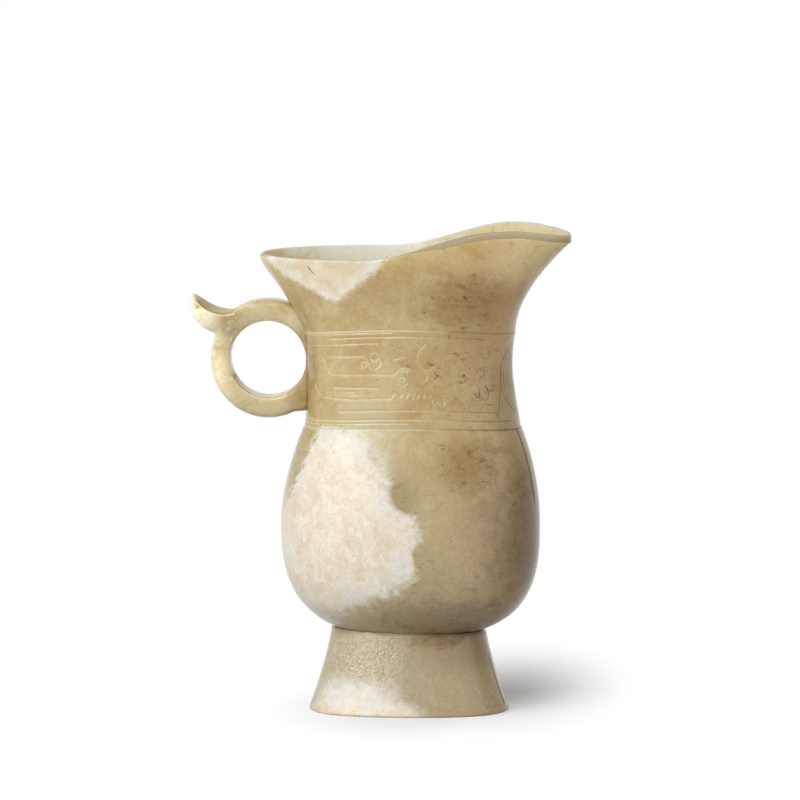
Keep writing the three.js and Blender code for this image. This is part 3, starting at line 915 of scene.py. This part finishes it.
class Recipe:
    """Short words for building the nodes of a material or a world. Its fields are values over the surface, by
    name. A fade is a field's name, or a name with where the field's S curve is 0 and where it is 1."""

    def __init__(self, block):
        block.use_nodes = True
        self.block = block
        self.nodes = block.node_tree.nodes
        self.links = block.node_tree.links
        self.fields = {}

    def put(self, socket, value):
        if isinstance(value, bpy.types.NodeSocket):
            self.links.new(value, socket)
        else:
            socket.default_value = value

    def math(self, operation, *values):
        """The values worked into one, from the first to the last."""
        result = values[0]
        for value in values[1:]:
            node = self.nodes.new("ShaderNodeMath")
            node.operation = operation
            self.put(node.inputs[0], result)
            self.put(node.inputs[1], value)
            result = node.outputs[0]
        return result

    def plus(self, *values):
        return self.math("ADD", *values)

    def minus(self, *values):
        return self.math("SUBTRACT", *values)

    def times(self, *values):
        return self.math("MULTIPLY", *values)

    def larger(self, *values):
        return self.math("MAXIMUM", *values)

    def smaller(self, *values):
        return self.math("MINIMUM", *values)

    def unsigned(self, value):
        return self.math("ABSOLUTE", value, 0.0)

    def vector(self, operation, a, b=(0, 0, 0)):
        node = self.nodes.new("ShaderNodeVectorMath")
        node.operation = operation
        self.put(node.inputs[0], a)
        self.put(node.inputs[1], b)
        return node.outputs["Value" if operation == "LENGTH" else "Vector"]

    def split(self, vector):
        """X, Y and Z of a vector."""
        node = self.nodes.new("ShaderNodeSeparateXYZ")
        self.put(node.inputs[0], vector)
        return node.outputs

    def noise(self, place, scale, detail, roughness, distortion):
        node = self.nodes.new("ShaderNodeTexNoise")
        self.put(node.inputs["Vector"], place)
        node.inputs["Scale"].default_value = scale
        node.inputs["Detail"].default_value = detail
        node.inputs["Roughness"].default_value = roughness
        node.inputs["Distortion"].default_value = distortion
        return node.outputs["Fac"]

    def step(self, value, low, high):
        """0 to 1 on an S curve as value goes from low to high, which may run downwards."""
        node = self.nodes.new("ShaderNodeMapRange")
        node.interpolation_type = "SMOOTHSTEP"
        self.put(node.inputs["Value"], value)
        node.inputs["From Min"].default_value = min(low, high)
        node.inputs["From Max"].default_value = max(low, high)
        node.inputs["To Min"].default_value = 0.0 if low < high else 1.0
        node.inputs["To Max"].default_value = 1.0 if low < high else 0.0
        return node.outputs["Result"]

    def blend(self, share, a, b):
        """Colour a going over into colour b by share. A Mix node's colour sockets are its inputs 6 and 7."""
        node = self.nodes.new("ShaderNodeMix")
        node.data_type = "RGBA"
        self.put(node.inputs["Factor"], share)
        self.put(node.inputs[6], a)
        self.put(node.inputs[7], b)
        return node.outputs[2]

    def mark(self, name):
        """A value that the mesh holds for each point, 0 on a mesh without it."""
        node = self.nodes.new("ShaderNodeAttribute")
        node.attribute_name = name
        return node.outputs["Fac"]

    def egg(self, place, centre, radii):
        """Distance from a centre in units of the radii: 1 on the egg's skin."""
        from_centre = self.vector("SUBTRACT", place, centre)
        return self.vector("LENGTH", self.vector("DIVIDE", from_centre, radii))

    def eggs(self, place, shapes):
        """The least of several eggs' distances, so that they read as one area."""
        return self.smaller(*[self.egg(place, centre, radii) for centre, radii in shapes])

    def bump(self, height, distance):
        node = self.nodes.new("ShaderNodeBump")
        node.inputs["Strength"].default_value = 1.0
        node.inputs["Distance"].default_value = distance
        self.put(node.inputs["Height"], height)
        return node.outputs["Normal"]

    def share(self, strength, *fades):
        """The product of a strength and its fades."""
        parts = [self.fields[fade] if isinstance(fade, str) else self.step(self.fields[fade[0]], *fade[1:])
                 for fade in fades]
        return self.times(*parts) if strength == 1 else self.times(*parts, strength)

    def most(self, shares):
        """The largest of several shares, each a strength and its fades."""
        return self.larger(*[self.share(*share) for share in shares])

    def tint(self, colour, tones):
        """Tones laid over a colour one after the other, each a colour, a strength and its fades."""
        for tone, *share in tones:
            colour = self.blend(self.share(*share), colour, ink(*tone))
        return colour


# The fields of the stone. X, Y and Z are millimetres about the foot's axis, and upward is the normal's Z.
# A noise is a stretch, a scale for each millimetre, a detail, a roughness and a distortion.
EVEN = (1.0, 1.0, 1.0)
SIDEWAYS = (0.75, 0.75, 1.25)
NOISES = {
    "cloud": (EVEN, 0.06, 5, 0.6, 1.0),
    "mottle": (EVEN, 0.22, 7, 0.68, 0.8),
    "grain": (EVEN, 1.3, 5, 0.75, 0.3),
    "gold": (EVEN, 0.35, 5, 0.7, 0.8),
    "veins": (EVEN, 0.55, 6, 0.7, 1.0),
    "blotches": (SIDEWAYS, 0.4, 5, 0.7, 0.6),
    "dots": (SIDEWAYS, 1.3, 3, 0.6, 0.2),
    "clumps": (SIDEWAYS, 0.16, 3, 0.6, 0.8),
    "flecks": (SIDEWAYS, 0.6, 6, 0.7, 0.6),
    "wrinkles": (SIDEWAYS, 1.5, 2, 0.5, 2.0),
    "ragged": (EVEN, 0.14, 4, 0.6, 0.5),
    "lace": (EVEN, 0.5, 8, 0.78, 0.6),
    "patches": (EVEN, 0.11, 4, 0.6, 0.4),
    "peach": (EVEN, 0.2, 6, 0.7, 0.6),
    "rose": ((0.7, 1.0, 1.5), 0.17, 5, 0.65, 0.8),
    "speckle": ((1.0, 1.0, 0.8), 0.8, 6, 0.75, 0.6),
    "peel": (EVEN, 1.1, 1, 0.5, 0.5),
}
NOISE_MEAN = 0.5
MARKS = ("worn", "lip", "ridge")

# Areas of the ewer, each the product of its fades. A later one may be bounded by an earlier one.
AREAS = {
    "claw_top": [("upward", 0.15, 0.45), ("x", -37, -42)],
    # the thumb rest's dish, which takes painted shade
    "palm": ["claw_top", ("from_middle", 8.0, 7.0), ("x", -52.4, -50.4)],
    "lit_corner": [("z", 20, 17.5), ("z", 5, 12), ("x", 4, -8), ("y", 0, -6)],
    "on_foot": [("z", 20, 14)],
    "on_mouth": [("z", 96, 102), ("y", 2, -4)],
    "peachy": [("peach", 0.36, 0.66)],
}

# The clear stone's two tones, then those laid over it: colour, strength and fades.
PALE_STONE = (192, 179, 134)
WARM_STONE = (178, 155, 104)
CLOUD_FADE = (0.38, 0.62)
PAST_RING = (2.5, ("z", 90, 93))  # the pale tone starts this much nearer the tip above the thumb rest's base
BODY_TONES = [
    ((178, 163, 128), 0.75, ("z", 78, 54)),  # belly
    ((168, 157, 132), 0.6, ("z", 24, 14)),  # foot
    ((200, 187, 150), 0.8, ("x", -26, -31)),  # handle
    ((238, 226, 193), 0.9, ("past_ring", -41, -46)),  # thumb rest
    ((222, 190, 134), 0.4, ("gold", 0.5, 0.64), ("x", -40, -46)),  # golden clouds in it
    ((186, 152, 106), 0.4, ("x", -2, 22)),  # towards the spout
    ((220, 206, 170), 0.75, ("z", 99, 107), ("x", 16, 30)),  # under the spout: paler, a painted glow of light through the thin stone
    ((212, 188, 144), 0.6, ("y", -2, 5), ("z", 106, 111), ("x", 4, 14)),  # inside the spout: paler and warmer, painted light on its inner wall
    ((184, 156, 108), 0.35, ("z", 70, 73), ("z", 96, 92), ("x", -29, -26)),  # neck
]
# Painted shade and light in the upturned dish of the thumb rest: darker on its near side, lighter on its far
# side.
DISH_SHADED_NEAR = (172, 140, 86)
DISH_LIT_FAR = (206, 186, 148)
DISH_SHADE_FADE = ("y", -6, 3)
DISH_SHADE_STRENGTH = 0.9
GRAIN_TONES = [
    ((150, 126, 82), 0.45, ("mottle", 0.5, 0.72)),
    ((206, 193, 156), 0.45, ("mottle", 0.48, 0.27)),
    ((218, 205, 168), 0.28, ("grain", 0.52, 0.7)),
    ((138, 114, 76), 0.28, ("grain", 0.46, 0.3)),
    ((248, 240, 214), 0.6, ("x", -44, -47.5), ("z", 89, 92), "bare"),  # thumb rest
    ((224, 190, 136), 0.5, ("veins", 0.5, 0.64), ("x", -37, -43), "bare"),
    ((246, 238, 214), 0.55, ("veins", 0.45, 0.33), ("x", -37, -43), "bare"),
    ((252, 247, 230), 0.8, "ridge", ("x", -29, -33)),  # painted highlight along the handle's ridges
]

# Stains and like tones, some of them painted shade: centre, radii, strength, how far it is blotched, how
# thickly flecked, and colour.
BROWN = (136, 107, 52)
OLIVE = (150, 130, 82)
PAINTED_SHADE_BROWN = (124, 100, 72)
HAZE = (166, 150, 112)
HONEY = (216, 178, 120)
STAINS = [
    ((0, -16, 103), (15, 9, 9), 0.35, 0, 0, HAZE),
    # darker just under the neck on the near side: painted shade that tones down the lamp's sheen
    ((-10, -17, 72.5), (14, 7, 4.5), 0.4, 0, 0, HAZE),
    ((14.5, -14, 100), (13.5, 9, 9), 0.66, 0.7, 1.0, BROWN),
    ((15, -17, 62), (9, 9, 8), 0.55, 0.6, 1.0, BROWN),
    ((13, -15, 82), (18, 11, 17), 0.1, 0.15, 1.0, BROWN),
    ((-25, -6, 84), (5, 9, 16), 0.45, 0.5, 0.6, BROWN),
    # lighter and warmer at the neck's edge towards the spout, with flecks
    ((25, -8, 93), (8, 10, 13), 0.5, 0, 0.4, HONEY),
    ((8, -13, 18.2), (9, 5, 2.2), 0.6, 1.0, 1.0, BROWN),
    ((-2, -20, 54), (6, 8, 7), 0.5, 0.3, 0.4, OLIVE),
    ((5, -20, 35), (11, 9, 8), 0.3, 0.3, 0.5, OLIVE),
    # the next three: painted shade, darker on the belly towards the spout, low on the belly and on the foot
    # towards the spout, with the stone's own blotches and flecks
    ((34, -8, 42), (23, 24, 28), 0.8, 0.4, 0.5, PAINTED_SHADE_BROWN),
    ((8, -14, 24.5), (24, 13, 7), 0.65, 0.4, 0.6, PAINTED_SHADE_BROWN),
    ((18, -9, 16), (19, 11, 7), 0.4, 0.2, 0.3, PAINTED_SHADE_BROWN),
    ((-14, 16, 58), (10, 9, 8), 0.45, 0.6, 0.8, BROWN),
    ((8, 15, 98), (10, 8, 7), 0.4, 0.6, 0.8, BROWN),
]
STAIN_FRAY = 1.6
STAIN_FADE = (1.2, 0.25)
BLOTCH_BROWN = (106, 78, 34)
BLOTCH_STRENGTH = 0.6
BLOTCH_FADE = ("blotches", 0.48, 0.66)
FLECK_BROWN = (92, 64, 26)
FLECK_STRENGTH = 0.95
FLECK_FADES = [("flecks", 0.54, 0.68), ("clumps", 0.38, 0.54)]

# Over the stains: pits, the rim's greyer cut edge with a dark line along its inner side, cuts with a pale
# painted highlight towards the handle and dirt with painted shade towards the spout and in the crease, and
# the foot's painted wrinkle highlight.
SPOUT_DIRT_AND_SHADE = [(0.4, ("x", 8, 18)), (0.55, ("x", 20, 24))]
CREASE_DIRT_AND_SHADE = (0.55, ("z", 30, 24))
FINE_TONES = [
    ((110, 82, 44), 0.6, ("dots", 0.66, 0.72), ("x", -30, -24)),
    ((150, 139, 119), 0.85, ("lip", 0.1, 0.3)),
    ((96, 80, 54), 0.8, ("lip", 0.7, 0.9), ("x", -14, 4)),
    # painted highlight: cuts paler towards the handle, the side the light comes from
    ((236, 224, 188), 0.55, "worn", ("x", 14, -4)),
    # dirt and painted shade in the cuts towards the spout and in the crease
    ((92, 66, 34), 1, "worn", "dirty"),
    # painted highlight: pale wrinkles at the foot's lit corner
    ((238, 226, 194), 0.36, ("wrinkles", 0.5, 0.6), "lit_corner"),
]

# Chalky areas where the stone has altered, as eggs: centre and radii. The last four are on the far side.
CHALK = [
    ((-15.5, -14, 52), (13.5, 17, 20)),
    ((-9.5, -16, 42), (14.5, 17, 15)),
    ((-20, -12, 36), (13, 16, 13)),
    ((-24, -9, 47), (9, 14, 14)),
    ((-13, -12, 1), (13.5, 11, 9)),
    ((-3, -15, 0), (8, 6, 4.5)),
    ((-11, 12, 112), (21, 14, 9)),
    ((14, 18, 42), (8, 10, 11)),
    ((8, 20, 33), (11, 9, 7)),
    ((-8, 14, 2), (9, 7, 6)),
]
# Under the near rim the chalk hangs in a slanted point: X and Z of the point, the slope of its two sides with
# the share that makes a height over each a distance, where it ends at the back, and how deep it lies where it
# counts as its middle.
HANGING_POINT = (-17.0, 100.8)
HANDLE_SIDE = (0.5, 0.89)
SPOUT_SIDE = (-0.79, 0.78)
HANGING_BACK = -33.5
HANGING_DEPTH = 8.0
HANGING_NEAR = (5.0, ("y", -6, -1))  # keeps the point to the near side
# Places where the clear stone bites into the belly's chalk
BITES = [
    ((0.5, -20, 53.5), (3.4, 9, 3.2)),
    ((4.0, -21, 40), (2.4, 9, 2.6)),
]
BITE_FADE = (1.5, 0.2)
BITE_FRAY = 2.0
BITE_DEPTH = 0.3
RAGGED_FRAY = 0.6
LACE_FRAY = 0.6
# The stone stays clear on the handle side of a line that slants down the belly: X at the floor, slope, fray.
CLEAR_LINE = -52.4
CLEAR_SLOPE = 0.45
CLEAR_FRAY = 7.0
ALLOWED = [(1, ("past_line", -0.6, 0.8), ("z", 70.7, 69.9)), (1, ("z", 94, 97))]
CRISP_EDGE = (1.12, 0.84)
FAINT_EDGE = (1.25, 0.5)
FAINT_AREAS = [
    (1, "on_foot"),
    (0.45, ("z", 94, 97), ("x", -22, -10)),  # mouth, towards the spout
    (1, ("z", 94, 97), ("y", -2, 3)),  # far side of the mouth
    (0.85, ("z", 32, 25)),  # low on the belly
    (0.8, ("z", 54, 64), ("z", 72, 70), ("x", -17, -8)),  # below the neck
]
CHALK_STRENGTH = 0.96
# The chalk is pinkish inside and white along its edge.
DEEP_FADE = (1.0, 0.55)
DEEP_UNEVEN = 0.9
DEEP_STRENGTH = 0.9
ROSE_FADE = (0.65, ("rose", 0.36, 0.62))
ROSE_LEAST = 0.35
POWDER = (230, 220, 198)
POWDER_TONES = [
    ((212, 192, 165), 0.8, "peachy"),
    ((208, 183, 155), 1, "on_mouth", "rosy"),
    ((226, 224, 207), 0.85, ("z", 98, 104), ("y", -2, 4)),
]
FOOT_POWDER = (219, 220, 218)
FOOT_POWDER_TONES = [
    ((213, 198, 172), 0.7, "peachy"),
    ((226, 198, 146), 0.8, "peachy", ("z", 5, 1)),
]
FOOT_POWDER_STRENGTH = 0.8
FRINGE = (218, 217, 208)
MOUTH_FRINGE = (236, 235, 228)
CALMER_MOUTH = (0.6, ("z", 94, 98))
SPECKLE_TONES = [
    ((238, 234, 226), 0.6, ("speckle", 0.52, 0.64), "calm"),
    ((196, 174, 148), 0.45, ("speckle", 0.46, 0.34), "calm"),
    ((150, 118, 80), 0.5, ("dots", 0.66, 0.72)),
]

# A hairline bends away from the rim on the near side: X and Z of its top, and how its course leans and bends.
HAIRLINE_TOP = (-23.3, 109.1)
HAIRLINE_LEAN = 0.3
HAIRLINE_BEND = 0.25
HAIRLINE_TONES = [
    ((92, 74, 56), 0.8, ("off_hairline", 0.3, 0.1), ("down", -0.1, 0.2), ("down", 2.4, 1.3), ("y", -6, -9)),
]

# Polish: waxy, with a ripple that is strongest at the foot's lit corner. Light passes furthest through the
# thin parts.
ROUGHNESS = 0.12
CHALK_ROUGHNESS = 0.16
MOTTLE_ROUGHNESS = 0.14
RIPPLE = 0.5
CORNER_RIPPLE = 4.0
RIPPLE_HEIGHT = 0.00008
REFRACTION = 1.6
SHINE = 0.35
DULL = [(1, "claw_top"), (0.6, ("x", -47, -51)), (0.5, ("x", 16, 28))]
THIN = [(1, ("z", 97, 107)), (1, ("x", -27, -33))]
GLOW = 0.2
THIN_GLOW = 0.65
GLOW_REACH = 0.001
THIN_GLOW_REACH = 0.005
GLOW_RADII = (1.0, 0.8, 0.5)


def put_fields(jade):
    """Places, marks of the mesh, noises and areas, by name."""
    fields = jade.fields
    to_mm = jade.nodes.new("ShaderNodeMapping")
    to_mm.inputs["Location"].default_value = (-AXIS_X / MM, 0, 0)
    to_mm.inputs["Scale"].default_value = (1 / MM, 1 / MM, 1 / MM)
    jade.put(to_mm.inputs["Vector"], jade.nodes.new("ShaderNodeTexCoord").outputs["Object"])
    place = to_mm.outputs["Vector"]
    normal = jade.nodes.new("ShaderNodeNewGeometry").outputs["Normal"]
    fields["place"] = place
    fields["x"], fields["y"], fields["z"] = jade.split(place)
    fields["upward"] = jade.split(normal)[2]
    fields["from_middle"] = jade.unsigned(fields["y"])
    for name in MARKS:
        fields[name] = jade.mark(name)
    stretched = {EVEN: place}
    for name, (stretch, *numbers) in NOISES.items():
        if stretch not in stretched:
            stretched[stretch] = jade.vector("MULTIPLY", place, stretch)
        fields[name] = jade.noise(stretched[stretch], *numbers)
    for name, fades in AREAS.items():
        fields[name] = jade.share(1, *fades)
    fields["bare"] = jade.minus(1.0, fields["palm"])
    fields["past_ring"] = jade.plus(fields["x"], jade.share(*PAST_RING))
    # Dirt and painted shade in the cuts towards the spout and in the crease.
    spout_dirt_and_shade = jade.plus(*[jade.share(*cut_tone) for cut_tone in SPOUT_DIRT_AND_SHADE])
    fields["dirty"] = jade.larger(spout_dirt_and_shade, jade.share(*CREASE_DIRT_AND_SHADE))


def clear_stone(jade):
    """Yellowish stone with clouds and grain, stained in places, with its rim, cuts and wrinkles, and with
    painted shade, light and highlights in places.
    """
    fields = jade.fields
    stone = jade.blend(jade.step(fields["cloud"], *CLOUD_FADE), ink(*PALE_STONE), ink(*WARM_STONE))
    stone = jade.tint(stone, BODY_TONES)
    # Painted shade and light in the thumb rest's dish.
    dish = jade.blend(jade.share(1, DISH_SHADE_FADE), ink(*DISH_SHADED_NEAR), ink(*DISH_LIT_FAR))
    stone = jade.blend(jade.share(DISH_SHADE_STRENGTH, "palm"), stone, dish)
    stone = jade.tint(stone, GRAIN_TONES)
    fray = jade.times(jade.minus(fields["mottle"], NOISE_MEAN), STAIN_FRAY)
    for centre, radii, strength, blotched, flecked, colour in STAINS:
        near = jade.plus(jade.egg(fields["place"], centre, radii), fray)
        fields["stained"] = jade.step(near, *STAIN_FADE)
        stone = jade.tint(stone, [
            (colour, strength, "stained"),
            (BLOTCH_BROWN, BLOTCH_STRENGTH * blotched, "stained", BLOTCH_FADE),
            (FLECK_BROWN, FLECK_STRENGTH * flecked, "stained", *FLECK_FADES),
        ])
    return jade.tint(stone, FINE_TONES)


def chalk_edge(jade):
    """0 in the middle of the chalk and 1 at its edge: eggs and a hanging point, frayed and bitten."""
    fields = jade.fields
    place = fields["place"]
    above = jade.minus(fields["z"], HANGING_POINT[1])
    beside = jade.minus(fields["x"], HANGING_POINT[0])
    sides = [jade.times(jade.plus(above, jade.times(beside, slope)), share)
             for slope, share in (HANDLE_SIDE, SPOUT_SIDE)]
    within = jade.smaller(*sides, jade.minus(fields["x"], HANGING_BACK))
    hanging = jade.minus(1.0, jade.times(within, 1 / HANGING_DEPTH))
    hanging = jade.plus(hanging, jade.share(*HANGING_NEAR))
    ragged = jade.minus(fields["ragged"], NOISE_MEAN)
    lacy = jade.minus(fields["lace"], NOISE_MEAN)
    past_line = jade.minus(fields["x"], jade.times(fields["z"], CLEAR_SLOPE), CLEAR_LINE)
    fields["past_line"] = jade.plus(past_line, jade.times(lacy, CLEAR_FRAY))
    bite = jade.plus(jade.eggs(place, BITES), jade.times(lacy, BITE_FRAY))
    return jade.plus(
        jade.smaller(jade.eggs(place, CHALK), hanging),
        jade.times(ragged, RAGGED_FRAY),
        jade.times(lacy, LACE_FRAY),
        jade.times(jade.step(bite, *BITE_FADE), BITE_DEPTH),
    )


def chalk_powder(jade, edge):
    """Granular chalk, whitest along its edge. On the mouth it is rosy, and on the foot white and golden."""
    fields = jade.fields
    fields["rosy"] = jade.plus(jade.share(*ROSE_FADE), ROSE_LEAST)
    fields["calm"] = jade.minus(1.0, jade.share(*CALMER_MOUTH))
    powder = jade.tint(ink(*POWDER), POWDER_TONES)
    foot_powder = jade.tint(ink(*FOOT_POWDER), FOOT_POWDER_TONES)
    powder = jade.blend(jade.share(FOOT_POWDER_STRENGTH, "on_foot"), powder, foot_powder)
    fringe = jade.blend(fields["on_mouth"], ink(*FRINGE), ink(*MOUTH_FRINGE))
    uneven = jade.times(jade.minus(fields["patches"], NOISE_MEAN), DEEP_UNEVEN)
    deep = jade.times(jade.step(jade.plus(edge, uneven), *DEEP_FADE), DEEP_STRENGTH)
    return jade.tint(jade.blend(deep, fringe, powder), SPECKLE_TONES)


def chalk_cover(jade, edge):
    """1 on chalk and 0 on clear stone, with a crisp edge in most places and a faint one in some."""
    crisp = jade.step(edge, *CRISP_EDGE)
    faint = jade.step(edge, *FAINT_EDGE)
    cover = jade.plus(crisp, jade.times(jade.most(FAINT_AREAS), jade.minus(faint, crisp)))
    return jade.times(cover, jade.most(ALLOWED))


def put_hairline_fields(jade):
    """How far down the hairline a place lies, and how far beside its course: a parabola of the way down."""
    fields = jade.fields
    down = jade.minus(HAIRLINE_TOP[1], fields["z"])
    course = jade.plus(jade.times(down, HAIRLINE_LEAN), jade.times(down, down, HAIRLINE_BEND))
    fields["down"] = down
    fields["off_hairline"] = jade.unsigned(jade.minus(fields["x"], HAIRLINE_TOP[0], course))


def jade_material():
    """Clear stone with chalky areas, waxy and a little translucent."""
    jade = Recipe(bpy.data.materials.new("jade"))
    put_fields(jade)
    fields = jade.fields
    edge = chalk_edge(jade)
    chalk = chalk_cover(jade, edge)
    colour = jade.blend(jade.times(chalk, CHALK_STRENGTH), clear_stone(jade), chalk_powder(jade, edge))
    put_hairline_fields(jade)
    shader = jade.nodes["Principled BSDF"].inputs
    jade.put(shader["Base Color"], jade.tint(colour, HAIRLINE_TONES))
    gloss = jade.plus(jade.times(chalk, CHALK_ROUGHNESS), jade.times(fields["mottle"], MOTTLE_ROUGHNESS))
    jade.put(shader["Roughness"], jade.plus(gloss, ROUGHNESS))
    ripple = jade.plus(jade.share(CORNER_RIPPLE, "lit_corner"), RIPPLE)
    jade.put(shader["Normal"], jade.bump(jade.times(fields["peel"], ripple), RIPPLE_HEIGHT))
    shader["IOR"].default_value = REFRACTION
    jade.put(shader["Specular IOR Level"], jade.times(jade.minus(1.0, jade.most(DULL)), SHINE))
    thin = jade.most(THIN)
    jade.put(shader["Subsurface Weight"], jade.plus(jade.times(thin, THIN_GLOW), GLOW))
    jade.put(shader["Subsurface Scale"], jade.plus(jade.times(thin, THIN_GLOW_REACH), GLOW_REACH))
    shader["Subsurface Radius"].default_value = GLOW_RADII
    return jade.block


# The stone: each skin with the nodes that it stands for
stone_material = jade_material()
MEMBERS = [
    (make_foot, ["foot"]),
    (make_belly, ["belly"]),
    (make_neck, ["neck_band"]),
    (make_mouth, ["flared_mouth"]),
    (make_handle, ["handle_ring", "thumb_rest"]),
]
for make, nodes in MEMBERS:
    piece = make()
    piece.data.materials.append(stone_material)
    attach(piece, "root")
    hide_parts(*nodes)


# Camera: a long lens a little above level, turned slightly towards the spout.
IMAGE_MM = 192.9  # width of the picture at the ewer
CAMERA_FAR = 4.0
CAMERA_TURN = math.radians(3.5)
CAMERA_RAISE = math.radians(6.8)
AIM = (-2.2, 0, 75.1)  # what the camera looks at, in millimetres about the foot's axis
SENSOR = 36


def from_centre(turn, height):
    """Direction from the ewer, by the angle to the spout's side of the front and the angle above level."""
    level = math.cos(height)
    return Vector((math.sin(turn) * level, -math.cos(turn) * level, math.sin(height)))


lens = bpy.data.cameras.new("camera")
lens.sensor_width = SENSOR
lens.lens = SENSOR * CAMERA_FAR / (IMAGE_MM * MM)
lens.clip_start = 0.1
lens.clip_end = 50
camera = link("camera", lens)
aim = Vector((AXIS_X, 0, 0)) + Vector(AIM) * MM
camera.location = aim + from_centre(CAMERA_TURN, CAMERA_RAISE) * CAMERA_FAR
camera.rotation_euler = (math.pi / 2 - CAMERA_RAISE, 0, CAMERA_TURN)
bpy.context.scene.camera = camera

# Light: rectangular lamps that face the ewer's middle. Each is an angle towards the spout's side and one
# above level, in degrees, a size in metres, a power and a colour.
LAMPS = {
    "key": (-36, 28, (1.0, 1.1), 8.8, (1, 1, 1)),
    "key_heart": (-33, 32, (0.22, 0.5), 1.3, (1, 1, 1)),
    "fill": (62, 18, (0.8, 0.9), 1.8, (1.0, 0.9, 0.8)),
}
LAMP_FAR = 0.9
LAMP_AIM = 0.06
for name, (turn, height, size, power, colour) in LAMPS.items():
    lamp = bpy.data.lights.new(name, "AREA")
    lamp.shape = "RECTANGLE"
    lamp.size, lamp.size_y = size
    lamp.energy = power
    lamp.color = colour
    way = from_centre(math.radians(turn), math.radians(height))
    holder = link(name, lamp)
    holder.location = way * LAMP_FAR + Vector((AXIS_X, 0, LAMP_AIM))
    holder.rotation_euler = way.to_track_quat("Z", "Y").to_euler()

# World: how light the room in front is and the backdrop behind, and how far behind each fades in.
ROOM_LIGHT = 0.3
BACKDROP_LIGHT = 0.7
BACKDROP_FADE = (0.1, 0.85)
MIRROR_FADE = (0.85, 0.95)


def studio_world():
    """White to the camera. For the rest a white backdrop behind the ewer, which shows in the polish, and a
    dim room in front."""
    sky = Recipe(bpy.data.worlds.new("studio"))
    behind = sky.split(sky.nodes.new("ShaderNodeTexCoord").outputs["Generated"])[1]
    path = sky.nodes.new("ShaderNodeLightPath").outputs
    mirrored = sky.times(path["Is Glossy Ray"], sky.step(behind, *MIRROR_FADE))
    room = sky.plus(sky.times(sky.step(behind, *BACKDROP_FADE), BACKDROP_LIGHT - ROOM_LIGHT), ROOM_LIGHT)
    strength = sky.larger(path["Is Camera Ray"], path["Is Transmission Ray"], mirrored, room)
    background = sky.nodes["Background"].inputs
    background["Color"].default_value = (1, 1, 1, 1)
    sky.put(background["Strength"], strength)
    return sky.block


bpy.context.scene.world = studio_world()

# Floor: white paper. The camera sees the ewer's shadow on it, under and beside the foot, and plain white
# further off.
FLOOR_COLOUR = 0.35
FLOOR_ROUGHNESS = 0.9
FLOOR_LIT = 0.8
SHADOW_CENTRE = (AXIS_X + 0.02, 0.035, 0)
SHADOW_RADII = (0.029, 0.08, 1)
SHADOW_FADE = (1.2, 0.0)
CONTACT_CENTRE = (AXIS_X, 0, 0)
CONTACT_RADII = (0.036, 0.06, 1)
CONTACT_FADE = (1.0, 0.3)
CONTACT_SHARE = 0.6
FLOOR_REACH = 6.0


def mixed(recipe, share, first, second):
    """One shader going over into another by share."""
    node = recipe.nodes.new("ShaderNodeMixShader")
    recipe.put(node.inputs[0], share)
    recipe.put(node.inputs[1], first)
    recipe.put(node.inputs[2], second)
    return node.outputs[0]


def floor_material():
    """Grey paper to the light. To the camera and in reflections it is white, and shaded near the ewer."""
    paper = Recipe(bpy.data.materials.new("paper"))
    place = paper.nodes.new("ShaderNodeTexCoord").outputs["Object"]
    lit = paper.nodes.new("ShaderNodeBsdfDiffuse")
    lit.inputs["Color"].default_value = (FLOOR_LIT, FLOOR_LIT, FLOOR_LIT, 1)
    glow = paper.nodes.new("ShaderNodeEmission")
    glow.inputs["Strength"].default_value = 1.0
    shadow = paper.step(paper.egg(place, SHADOW_CENTRE, SHADOW_RADII), *SHADOW_FADE)
    contact = paper.step(paper.egg(place, CONTACT_CENTRE, CONTACT_RADII), *CONTACT_FADE)
    shaded = paper.larger(shadow, paper.times(contact, CONTACT_SHARE))
    seen = mixed(paper, paper.minus(1.0, shaded), lit.outputs[0], glow.outputs[0])
    path = paper.nodes.new("ShaderNodeLightPath").outputs
    looked_at = paper.larger(path["Is Camera Ray"], path["Is Transmission Ray"], path["Is Glossy Ray"])
    grey = paper.nodes["Principled BSDF"]
    grey.inputs["Base Color"].default_value = (FLOOR_COLOUR, FLOOR_COLOUR, FLOOR_COLOUR, 1)
    grey.inputs["Roughness"].default_value = FLOOR_ROUGHNESS
    surface = mixed(paper, looked_at, grey.outputs[0], seen)
    paper.put(paper.nodes["Material Output"].inputs["Surface"], surface)
    return paper.block


corners = [(-1, -1), (1, -1), (1, 1), (-1, 1)]
floor_mesh = bpy.data.meshes.new("floor")
floor_mesh.from_pydata([(x * FLOOR_REACH, y * FLOOR_REACH, 0) for x, y in corners], [], [(0, 1, 2, 3)])
floor_mesh.materials.append(floor_material())
floor = link("floor", floor_mesh)

bpy.context.scene.view_settings.view_transform = "Standard"
